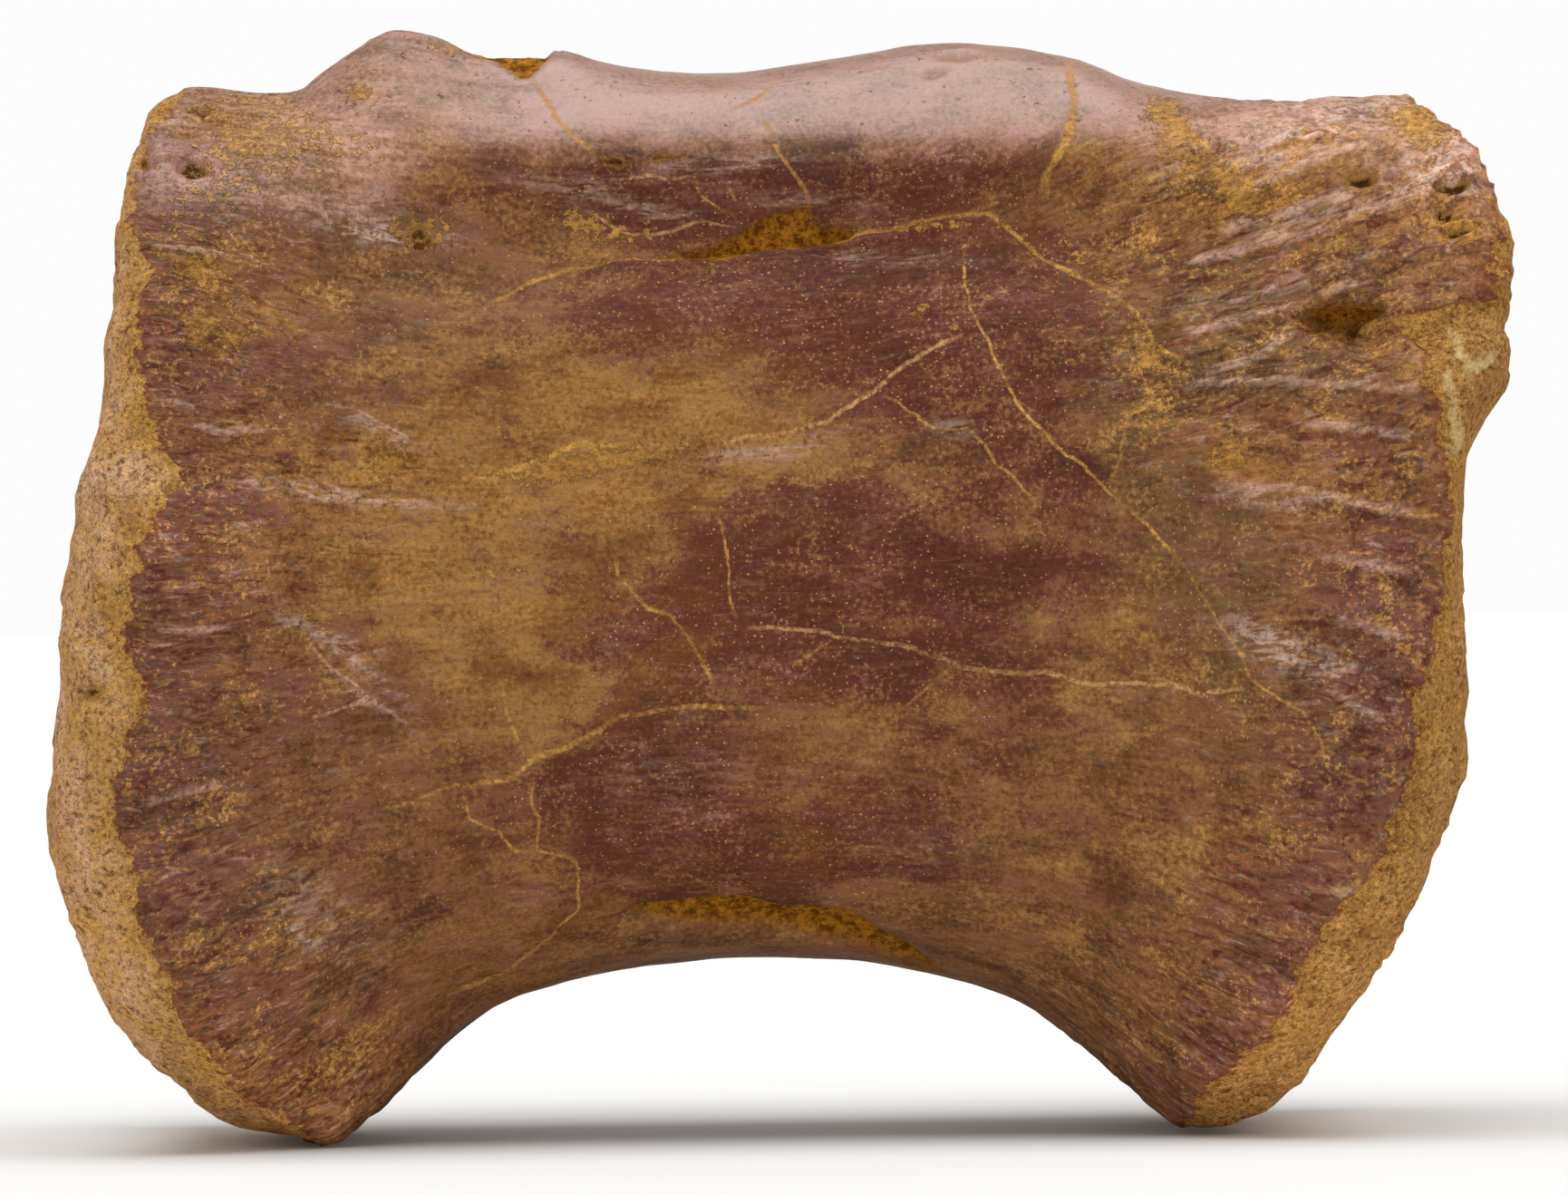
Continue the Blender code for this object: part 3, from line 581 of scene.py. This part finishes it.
LILAC = [
    (1410, 725, 50, 16, 25, 1), (1440, 745, 40, 10, 20, 0.8), (425, 266, 60, 10, 8, 0.9),
    (380, 556, 90, 9, 8, 0.8), (420, 485, 50, 8, 25, 0.6), (890, 500, 45, 9, -18, 0.4),
    (900, 235, 70, 7, 0, 0.35), (800, 190, 80, 9, -5, 0.5), (700, 240, 60, 9, 5, 0.4),
    (960, 300, 90, 8, 0, 0.35), (620, 215, 60, 9, 5, 0.4), (800, 515, 50, 7, -8, 0.5),
    (740, 870, 90, 50, 0, 0.15), (1010, 950, 90, 30, 0, 0.12), (390, 740, 70, 5, 38, 0.8),
    (360, 710, 60, 4, 20, 0.7), (420, 790, 50, 4, 35, 0.6), (360, 1060, 50, 4, 30, 0.7),
    (330, 1040, 30, 4, 60, 0.6), (1050, 480, 25, 8, 10, 0.45), (340, 1000, 80, 30, 30, 0.3),
    (1400, 560, 70, 10, 8, 0.5), (1450, 150, 130, 26, -18, 0.7), (1480, 240, 110, 14, -16, 0.5),
    (1605, 190, 45, 40, 0, 0.6), (1400, 330, 110, 10, -14, 0.3), (330, 230, 120, 14, 5, 0.4),
    (600, 1000, 60, 30, 0, 0.12),
]
CREAM = [(1607, 508, 7, 7, 0, 0.9), (118, 748, 6, 5, 0, 1), (1480, 990, 16, 9, 0, 0.6)]
CREAM_LINES = [[(1604, 373), (1611, 395), (1623, 414), (1638, 412), (1650, 402)],
               [(1597, 425), (1603, 445), (1605, 470), (1609, 500)]]
CRUST = [
    (280, 150, 90, 40, 15, 0.42), (250, 215, 60, 50, 0, 0.4), (350, 175, 120, 30, 10, 0.25),
    (200, 300, 40, 60, 0, 0.4), (640, 262, 50, 14, 20, 0.6), (1015, 352, 9, 6, 0, 0.9),
    (1052, 372, 7, 5, 0, 0.8), (905, 355, 6, 4, 0, 0.8), (1500, 300, 120, 60, -20, 0.15),
    (1240, 230, 90, 60, 0, 0.2), (300, 620, 120, 200, 0, 0.2), (1285, 135, 20, 12, 55, 1),
    (1300, 160, 16, 22, 20, 0.8), (1345, 205, 45, 18, 30, 1), (1375, 235, 25, 10, 20, 0.8),
    (222, 370, 18, 20, 0, 1), (260, 380, 9, 9, 0, 1), (216, 308, 20, 8, 0, 1), (250, 330, 30, 8, -10, 0.5),
    (1568, 155, 30, 20, 40, 1), (1612, 265, 26, 12, 20, 0.9), (680, 515, 90, 10, -6, 0.9),
    (610, 535, 50, 12, -10, 0.7), (1352, 518, 18, 13, 0, 0.8), (434, 521, 24, 15, 0, 0.8),
    (500, 62, 30, 8, 10, 0.8), (1200, 300, 40, 8, 35, 0.6), (1262, 400, 30, 16, 50, 0.8),
    (1030, 262, 60, 7, -5, 0.7), (720, 300, 70, 5, -4, 0.7), (700, 265, 60, 14, 5, 0.4),
    (464, 266, 34, 18, 10, 0.8), (400, 110, 14, 8, 0, 0.9), (930, 700, 30, 8, 10, 0.3),
    (1490, 372, 60, 12, 0, 0.9), (545, 640, 30, 7, -5, 0.5),
]
# Painted light, and in part pale wear: places lightened to stand in for light they lack.
PAINTED_LIGHT_AND_WEAR = [
    (1450, 150, 150, 60, -15, 0.5), (1600, 210, 50, 60, 0, 0.8), (1400, 1190, 90, 70, -40, 1),
    (1500, 1050, 60, 90, 30, 0.5), (100, 1060, 50, 110, 0, 0.35), (350, 180, 130, 50, 0, 0.35),
    (330, 1230, 110, 50, 30, 0.9), (330, 1100, 110, 60, 30, 0.5), (220, 600, 60, 60, 0, 0.35),
    (1450, 560, 90, 60, 0, 0.25), (800, 900, 160, 50, 0, 0.2),
]


def clouds(stains, at_x, at_y):
    """How strongly a kind of stain colours each point, from 0 to 1."""
    clear = np.ones(at_x.shape)
    for middle_x, middle_y, half_width, half_height, turn, strength in stains:
        clear = clear * (1 - strength * spot(at_x, at_y, middle_x, middle_y, half_width, half_height, turn))
    return 1 - clear


def both_sides(stains, roam=1.0):
    """A kind of stain where the photograph shows it, and turned end for end on the far side."""
    shown = clouds(stains, px + roam * wander_x, py + roam * wander_y)
    unseen = clouds(stains, PHOTO_WIDTH - px + 3 * wander_x, py + 3 * wander_y)
    return shown * near + unseen * (1 - near)


OVER_SUTURE = 1.1  # mm, that its ochre reaches up
UNDER_SUTURE = 3.0  # mm, that its maroon reaches down
CREAM_HALF = (13, 2)  # pixels, across which a line of cream grows to its full strength
POLISH_HEIGHT = (81, 88)  # mm, up which the polish grows

on_suture = eased(px, 590, 680) * eased(px, 1150, 1060) * near
over_suture = on_suture * eased(below, 0.2, -0.1) * np.exp(np.minimum(below, 0) / OVER_SUTURE)
under_suture = on_suture * eased(below, 0.1, 0.4) * np.exp(-np.maximum(below, 0) / UNDER_SUTURE)
ochre_stain = np.maximum(both_sides(OCHRE), over_suture) * (1 - under_suture)
maroon_and_painted_shade = np.maximum(both_sides(MAROON_AND_SHADE), under_suture)
warm = np.stack([ochre_stain, maroon_and_painted_shade, both_sides(PURPLE)], axis=-1)
cream = both_sides(CREAM, 0.3)
for line in CREAM_LINES:
    away = np.abs(from_line(px + 0.4 * wander_x, py + 0.4 * wander_y, line)[0])
    cream = np.maximum(cream, 0.85 * eased(away, *CREAM_HALF) * faces_camera)
cool = np.stack([both_sides(OLIVE), both_sides(LILAC, 0.4), cream], axis=-1)
polish_height = z + 3 * eased(px, 1200, 1420) + 5 * eased(px, 520, 400)
polish = eased(polish_height, *POLISH_HEIGHT) * (1 - end_face)
polish = polish * (0.6 + 0.4 * between_corners) * (1 - 0.85 * both_sides(OCHRE))
extra = np.stack([sediment, hollow, polish], axis=-1)
rim = np.stack([bare, striated, ridge], axis=-1)
# Crust, painted light that is partly wear, and the dense bone of the end faces.
crust_painted_light_dense = np.stack([both_sides(CRUST, 0.5) * (1 - end_face), both_sides(PAINTED_LIGHT_AND_WEAR), dense], axis=-1)


# The finished skin is raised and sunk along its own direction, then set down on its two feet. Where
# its rings shrink towards the middle of an end face, they use every second point, or fourth, and so on.
LOWEST = 0.06  # mm, worn off the lowest bone, so that the feet are flat
END_GAP = 0.8  # of END_CELL, between the points that are used there
MOST_HALVINGS = 6

lift[0] = lift[1].mean()
lift[-1] = lift[-2].mean()
skin = skin + normal * lift[..., None]
skin[..., 2] -= skin[..., 2].min() + LOWEST
skin[..., 2] = np.maximum(skin[..., 2], 0)

ring_gap = np.linalg.norm(np.roll(skin, -1, 1) - skin, axis=2).mean(1)
wished_gap = np.where(end_face.mean(1) > 0.5, END_CELL * END_GAP, NEAR_CELL)
halvings = np.floor(np.log2(wished_gap / np.maximum(ring_gap, 1e-3)))
skips = 2 ** np.clip(halvings, 0, MOST_HALVINGS).astype(int)
skips[0] = skips[-1] = COLUMNS
numbers = np.full((ROWS + 1, COLUMNS), -1)
used = []
for row in range(ROWS + 1):
    numbers[row, ::skips[row]] = np.arange(len(used), len(used) + len(range(0, COLUMNS, skips[row])))
    used += [(row, column) for column in range(0, COLUMNS, skips[row])]
faces = []
for row in range(ROWS):
    step = min(skips[row], skips[row + 1])
    for column in range(0, COLUMNS, step):
        corners = []
        for ring, at in ((row, column), (row + 1, column), (row + 1, column + step), (row, column + step)):
            corner = numbers[ring, at // skips[ring] * skips[ring] % COLUMNS]
            if corner not in corners:
                corners.append(corner)
        faces.append(corners)
picked = tuple(np.array(used).T)

mesh = bpy.data.meshes.new("fossil_vertebra")
mesh.from_pydata((skin[picked] / 1000).tolist(), [], faces)
on_skin = {"grain": grain, "rim": rim, "warm": warm, "cool": cool, "extra": extra, "crust_painted_light_dense": crust_painted_light_dense,
           "cracks_1": crack_sets[0], "cracks_2": crack_sets[1], "cracks_3": crack_sets[2]}
for name, values in on_skin.items():
    layer = mesh.attributes.new(name, "FLOAT_VECTOR", "POINT")
    layer.data.foreach_set("vector", values[picked].astype(np.float32).ravel())
mesh.shade_smooth()
mesh.validate()
vertebra = bpy.data.objects.new("fossil_vertebra", mesh)
bpy.context.scene.collection.objects.link(vertebra)


# The stone. Bone whose pores have filled with iron-rich silica: dense, waxy and streaked along its
# fibres in browns, maroon and ochre, with a satin polish from handling on the crest. Where the
# cortical skin is gone the spongy bone is dry, sandy and full of cells.
def colour(hex_code):
    """A colour given as an sRGB hex code, as the linear colour that Blender's nodes work in."""
    parts = [int(hex_code[at:at + 2], 16) / 255 for at in (1, 3, 5)]
    return [part / 12.92 if part <= 0.04045 else ((part + 0.055) / 1.055) ** 2.4 for part in parts] + [1]


BROWN = colour("#6c4728")
WARM_BROWN = colour("#82572f")
OCHRE_STONE = colour("#966c36")
RUST_STONE = colour("#8f571d")
MAROON_STONE_AND_SHADE = colour("#4f2418")
PURPLE_STONE = colour("#5f3d31")
OLIVE_STONE = colour("#5f4927")
RED_LINE = colour("#712f1f")
LILAC_FILM = colour("#a68a7b")
CREAM_FILM = colour("#c9ab76")
POLISHED_STONE = colour("#946a5a")
TAN_MINERAL = colour("#b48644")
YELLOW_SPECK = colour("#a07b45")
YELLOW_FLECK = colour("#b28640")
SANDY_BONE = colour("#b58641")
PINK_BONE = colour("#cda077")
PORE_BROWN = colour("#5b3a17")
DARK_SPONGE = colour("#8a5c31")
SAND = colour("#ab7020")
SAND_SHADE = colour("#6e4010")
CRUST_OCHRE = colour("#9d7033")
SHADE = colour("#48280f")
# Pale ridge is also the painted highlight on the ridge crests.
PALE_RIDGE = colour("#b08a74")

stone = bpy.data.materials.new("fossilised_bone")
stone.use_nodes = True
tree = stone.node_tree
tree.nodes.clear()


def add(kind, *values, **named):
    """Adds a node to the tree and gives back its first output. Values fill its sockets in order, a
    capitalised name is a socket and any other name a setting. An output given as a value is linked."""
    made = tree.nodes.new("ShaderNode" + kind)
    for name, value in named.items():
        if name[0].islower():
            setattr(made, name, value)
    sockets = dict(enumerate(values))
    sockets.update({name.replace("_", " "): value for name, value in named.items() if name[0].isupper()})
    for socket, value in sockets.items():
        if isinstance(value, bpy.types.NodeSocket):
            tree.links.new(value, made.inputs[socket])
        else:
            made.inputs[socket].default_value = value
    return made.outputs[0] if made.outputs else made


grain_place = add("Attribute", attribute_name="grain").node.outputs["Vector"]
bone_place = add("VectorMath", add("TexCoord").node.outputs["Object"], Scale=1000.0, operation="SCALE")
layers = {}
for name in ("rim", "warm", "cool", "extra", "crust_painted_light_dense", "cracks_1", "cracks_2", "cracks_3"):
    values = add("Attribute", attribute_name=name).node.outputs["Vector"]
    layers[name] = add("SeparateXYZ", values).node.outputs
past_edge, by_rim, ridge_highlight = layers["rim"]
ochre, maroon_and_shade, purple = layers["warm"]
olive, lilac, cream = layers["cool"]
sandy, hollows, polished = layers["extra"]
crust, painted_light_and_wear, articular = layers["crust_painted_light_dense"]

# Patterns, by the length and width of a mark in mm: clouds that break up into grit, lines along the
# fibres, the spongy bone's cells of 0.8 mm, and pores. Three fields of the same kind lie in each one's
# red, green and blue. Sand grains of 0.1 to 0.3 mm are too fine for the render, so the grit is drawn
# at 0.45 mm, and the fibres, which are about 0.2 mm wide, at 0.6 mm.
cloud_place = add("VectorMath", grain_place, (1 / 7.0, 1 / 3.6, 1 / 3.6), operation="MULTIPLY")
cloud_noise = add("TexNoise", Vector=cloud_place, Scale=1.0, Detail=5.0, Roughness=0.60, Distortion=0.3)
fibre_place = add("VectorMath", grain_place, (1 / 3.4, 1 / 0.6, 1 / 0.6), operation="MULTIPLY")
fibre_noise = add("TexNoise", Vector=fibre_place, Scale=1.0, Detail=4.0, Roughness=0.7, Distortion=0.6)
fibre = add("SeparateColor", fibre_noise.node.outputs["Color"]).node.outputs
wrinkle_place = add("VectorMath", grain_place, (1 / 4.0, 1 / 0.5, 1 / 0.5), operation="MULTIPLY")
wrinkles = add("TexNoise", Vector=wrinkle_place, Scale=1.0, Detail=2.0, Roughness=0.6)
sponge = add("TexNoise", Vector=bone_place, Scale=1 / 0.8, Detail=3.0, Roughness=0.75)
grit_noise = add("TexNoise", Vector=bone_place, Scale=1 / 0.45, Detail=2.0, Roughness=0.7)
grit = add("SeparateColor", grit_noise.node.outputs["Color"]).node.outputs
gritty = add("VectorMath", grit_noise.node.outputs["Color"], (0.8, 0.8, 0.8),
             cloud_noise.node.outputs["Color"], operation="MULTIPLY_ADD")
gritty = add("VectorMath", gritty, (0.4, 0.4, 0.4), operation="SUBTRACT")
cloud = add("SeparateXYZ", gritty).node.outputs
pore_place = add("VectorMath", grain_place, (0.9, 1.1, 1.1), operation="MULTIPLY")
pores = add("TexVoronoi", Vector=pore_place, Scale=1 / 0.5, Randomness=0.9).node.outputs

# Contrast is strongest by the rims, and low on the smooth waist and the polished crest.
contrast = add("MapRange", by_rim, 0.14, 0.75, 0.25, 1.0)
contrast = add("Math", contrast, add("MapRange", polished, 0.0, 1.0, 1.0, 0.35), operation="MULTIPLY")


def blend(amount, tint, low, high, most=1.0, part=None):
    """Mixes a tint into the tone where amount passes from low to high, at most by most."""
    share = add("MapRange", amount, low, high, 0.0, most)
    if part is not None:
        share = add("Math", share, part, operation="MULTIPLY")
    return add("MixRGB", share, tone, tint)


def broken_up(value, pattern, strength):
    """A value with its edges broken up by a pattern, which lies round 0.5."""
    pattern = add("Math", pattern, 0.5, operation="SUBTRACT")
    return add("Math", pattern, strength, value, operation="MULTIPLY_ADD")


# Colour of the cortical bone: browns, then each kind of stain with edges broken by its own clouds, the
# maroon one also painting shade in the furrow under the shoulder, and thin lines of red, ochre and lilac
# along the fibres. The crest is rubbed to a pale pinkish satin.
tone = add("MixRGB", add("MapRange", cloud[0], 0.36, 0.62), BROWN, WARM_BROWN)
STAINS_AND_SHADE = ((olive, cloud[2], OLIVE_STONE, 0.8), (ochre, cloud[1], OCHRE_STONE, 0.9),
          (maroon_and_shade, cloud[2], MAROON_STONE_AND_SHADE, 0.95), (purple, cloud[0], PURPLE_STONE, 0.95))
for stain, breaks, tint, most in STAINS_AND_SHADE:
    tone = blend(add("Math", breaks, 2.4, stain, operation="MULTIPLY_ADD"), tint, 1.3, 1.85, most)
tone = blend(cloud[0], RUST_STONE, 0.50, 0.40, 0.7, ochre)
tone = blend(fibre[0], RED_LINE, 0.52, 0.64, 0.8, contrast)
tone = blend(fibre[1], OCHRE_STONE, 0.53, 0.66, 0.8, contrast)
tone = blend(fibre[2], LILAC_FILM, 0.56, 0.70, 0.55, contrast)
flecks = add("MapRange", contrast, 0.25, 0.8, 0.25, 1.0)
tone = blend(add("Math", cloud[1], grit[0], operation="ADD"), YELLOW_FLECK, 1.13, 1.26, 0.75, flecks)
tone = blend(grit[1], RED_LINE, 0.53, 0.66, 0.65, flecks)
polished_thin = add("Math", cloud[0], 2.0, polished, operation="MULTIPLY_ADD")
tone = blend(polished_thin, POLISHED_STONE, 1.2, 2.0, 0.9, add("MapRange", polished, 0.0, 0.3))

# Light and dark, by clouds, fibres and grit together.
light = add("Math", fibre[0], 0.5, operation="SUBTRACT")
light = add("Math", light, add("MapRange", contrast, 0.25, 1.0, -0.7, -2.7), 0.4, operation="MULTIPLY_ADD")
light = add("Math", cloud[0], 1.3, light, operation="MULTIPLY_ADD")
light = add("Math", grit[2], 1.0, light, operation="MULTIPLY_ADD")

# Pores filled with yellowish mineral, most of them in the dark stains of the smooth waist. Real ones
# are 0.05 to 0.1 mm wide, and are drawn 0.12 to 0.24 mm wide so that they show.
chance = add("SeparateColor", pores["Color"]).node.outputs
pore_size = add("MapRange", chance[0], 0.0, 1.0, 0.12, 0.24)
pore = add("Math", pores["Distance"], pore_size, operation="SUBTRACT")
pore_zone = add("Math", add("Math", maroon_and_shade, olive, operation="MAXIMUM"), by_rim, operation="SUBTRACT")
pore_share = add("MapRange", pore_zone, 0.0, 0.4, 0.4, 1.0)
pore_there = add("Math", chance[1], pore_share, operation="LESS_THAN")
tone = blend(pore, YELLOW_SPECK, 0.0, -0.06, 0.85, pore_there)

# Ridge crests painted pale, partly worn and partly a painted highlight, and films of lilac mineral where
# scratches show white.
tone = blend(add("Math", ridge_highlight, fibre[2], operation="MULTIPLY"), PALE_RIDGE, 0.15, 0.5, 0.75)
film_grit = add("MapRange", grit[2], 0.30, 0.45, 0.3, 1.0)
film = add("Math", add("MapRange", fibre[2], 0.44, 0.56), film_grit, operation="MULTIPLY")
tone = blend(lilac, LILAC_FILM, 0.05, 0.7, 0.9, film)

# Cracks, thin and broken, with an edge that wavers. Tan mineral fills most, and pale film a few.
all_cracks = add("Math", sandy, hollows, operation="MAXIMUM")
for name in ("cracks_1", "cracks_2", "cracks_3"):
    off_line, strength, pale = layers[name]
    line = add("Math", broken_up(off_line, sponge, 0.35), operation="ABSOLUTE")
    crack_tone = add("MixRGB", pale, TAN_MINERAL, PALE_RIDGE)
    shown = add("Math", strength, add("MapRange", cloud[2], 0.40, 0.50, 0.35, 1.0), operation="MULTIPLY")
    shown = add("Math", shown, add("MapRange", line, 0.18, 0.08), operation="MULTIPLY")
    shown = add("Math", shown, add("MapRange", grit[1], 0.40, 0.52, 0.5, 1.0), operation="MULTIPLY")
    tone = blend(shown, crack_tone, 0.0, 1.0, 0.9)
    all_cracks = add("Math", all_cracks, shown, operation="MAXIMUM")

# Crusts of hard ochre sand that broke into crumbs.
crumbs = broken_up(crust, sponge, 2.8)
tone = blend(crumbs, CRUST_OCHRE, 0.45, 0.65, 0.85)

light = add("MixRGB", add("MapRange", polished, 0.0, 1.0, 0.0, 0.65), light, (1.5, 1.5, 1.5, 1.0))
tone = add("VectorMath", tone, Scale=add("MapRange", light, 1.05, 1.95, 0.45, 1.55), operation="SCALE")

# Spongy bone beyond the edges: dry and sandy, pinker on the left, and open in dark pores. Dense bone
# covers the middle of the end faces.
ragged = broken_up(broken_up(past_edge, fibre[1], 1.6), sponge, 1.4)
cortex = tone
along_bone = add("SeparateXYZ", bone_place).node.outputs["X"]
pinker = add("MapRange", along_bone, -40, 40, 1.0, 0.25)
outer = add("Math", add("MapRange", ragged, 0.3, 3.5), pinker, operation="MULTIPLY")
tone = add("MixRGB", outer, SANDY_BONE, PINK_BONE)
tone = blend(grit[0], PINK_BONE, 0.50, 0.62, 0.8, pinker)
tone = blend(cloud[2], SANDY_BONE, 0.48, 0.58, 0.8)
tone = blend(cloud[0], DARK_SPONGE, 0.54, 0.44, 0.6, add("MapRange", along_bone, -20, 50))
tone = blend(cloud[0], DARK_SPONGE, 0.54, 0.68, 0.5)
tone = blend(grit[1], RED_LINE, 0.54, 0.66, 0.55)
tone = blend(sponge, PORE_BROWN, 0.44, 0.33, 0.8)
tone = add("VectorMath", tone, Scale=add("MapRange", grit[2], 0.3, 0.7, 0.6, 1.4), operation="SCALE")
bare_bone = add("MapRange", ragged, 0.0, 0.2)
uncovered = add("MapRange", broken_up(articular, sponge, 2.4), 0.2, 0.9, 1.0, 0.25)
bare_bone = add("Math", bare_bone, uncovered, operation="MULTIPLY")
red_edge = add("MapRange", ragged, -0.4, 0.0, 0.0, 0.6)
red_edge = add("Math", red_edge, articular, operation="SUBTRACT", use_clamp=True)
cortex = add("MixRGB", red_edge, cortex, RED_LINE)
tone = add("MixRGB", bare_bone, cortex, tone)
tone = blend(broken_up(cream, sponge, 1.2), CREAM_FILM, 0.3, 0.8, 0.85)
# Painted light: the tone is lightened up to 1.75 times in the clouds of painted light, which stand in for
# light on surfaces that get too little, and in part for pale wear.
tone = add("VectorMath", tone, Scale=add("MapRange", painted_light_and_wear, 0.0, 1.0, 1.0, 1.75), operation="SCALE")

# Sediment, and the shade at the bottom of hollows.
pitted = broken_up(hollows, sponge, 1.8)
in_pit = add("MapRange", hollows, 0.0, 0.15)
tone = blend(pitted, CRUST_OCHRE, 0.35, 0.6, 0.7, in_pit)
tone = blend(pitted, SHADE, 0.6, 0.9, 0.9, in_pit)
sand_tone = add("MixRGB", add("MapRange", sponge, 0.40, 0.54), SAND_SHADE, SAND)
tone = blend(sandy, sand_tone, 0.0, 1.0)

# Relief too fine for the mesh, in mm.
crumbly = add("Math", bare_bone, all_cracks, operation="MAXIMUM")
open_bone = add("Math", add("MapRange", past_edge, 0.0, 0.3), sandy, operation="MAXIMUM")
open_bone = add("Math", open_bone, add("MapRange", crumbs, 0.45, 0.65, 0.0, 0.6), operation="MAXIMUM")
height = add("Math", wrinkles, add("MapRange", contrast, 0.25, 1.0, 0.05, 0.28), operation="MULTIPLY")
cells = add("MapRange", sponge, 0.3, 0.6, 0.0, 0.30)
height = add("Math", cells, open_bone, height, operation="MULTIPLY_ADD")
relief = add("Bump", Height=height, Distance=0.001, Strength=1.0)

# Finish: satin stone, glossier where it is polished, and dull in the sand, the cracks and the sponge.
rough_stone = add("MapRange", polished, 0.0, 1.0, 0.55, 0.40)
rough_all = add("MixRGB", crumbly, rough_stone, (0.95, 0.95, 0.95, 1.0))
shine = add("MapRange", polished, 0.0, 1.0, 0.14, 0.85)
shine = add("Math", add("Math", crumbly, -0.9, 1.0, operation="MULTIPLY_ADD"), shine, operation="MULTIPLY")
surface = add("BsdfPrincipled", Base_Color=tone, Roughness=rough_all, Normal=relief, IOR=1.5,
              Specular_IOR_Level=shine)
add("OutputMaterial", surface)

vertebra.data.materials.append(stone)
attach(vertebra, "root")
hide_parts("vertebra")


# The studio. The bone stands on a wide board of matt white under a white sky, with broad soft light
# from overhead that makes the polished crest shine.
FLOOR_RADIUS = 60.0  # m, so that the board runs on to the horizon
FLOOR_SIDES = 64
SKY_STRENGTH = 0.36  # overhead
HORIZON_STRENGTH = 0.98  # where the sky meets the board, both of them white
HAZE_LOW = 0.3  # share of the way up the sky, where it starts to dim
HAZE_HIGH = 0.8
SOFT_LIGHT = 2.7  # watts on a square metre
SOFT_ANGLE = math.radians(60)
SOFT_TILT = math.radians(10)  # from straight overhead towards the camera

turns = np.linspace(0, 2 * math.pi, FLOOR_SIDES, endpoint=False)
floor_mesh = bpy.data.meshes.new("floor")
floor_ring = [(FLOOR_RADIUS * math.cos(turn), FLOOR_RADIUS * math.sin(turn), 0) for turn in turns]
floor_mesh.from_pydata(floor_ring, [], [list(range(FLOOR_SIDES))])
floor = bpy.data.objects.new("floor", floor_mesh)
bpy.context.scene.collection.objects.link(floor)
board = bpy.data.materials.new("matt_white_board")
board.use_nodes = True
tree = board.node_tree
tree.nodes.clear()
matt = add("BsdfPrincipled", Base_Color=colour("#dfdfde"), Roughness=0.95, Specular_IOR_Level=0.1)
add("OutputMaterial", matt)
floor_mesh.materials.append(board)

lamp = bpy.data.lights.new("overhead_light", "SUN")
lamp.angle = SOFT_ANGLE
lamp.energy = SOFT_LIGHT
overhead = bpy.data.objects.new("overhead_light", lamp)
overhead.rotation_euler = (SOFT_TILT, 0, 0)
bpy.context.scene.collection.objects.link(overhead)

sky = bpy.data.worlds.new("white_sky")
sky.use_nodes = True
tree = sky.node_tree
tree.nodes.clear()
height_in_sky = add("SeparateXYZ", add("TexCoord").node.outputs["Generated"]).node.outputs["Z"]
dimming = add("MapRange", height_in_sky, HAZE_LOW, HAZE_HIGH, HORIZON_STRENGTH, SKY_STRENGTH)
add("OutputWorld", add("Background", (1, 1, 1, 1), dimming))
bpy.context.scene.world = sky
bpy.context.scene.view_settings.view_transform = "Standard"
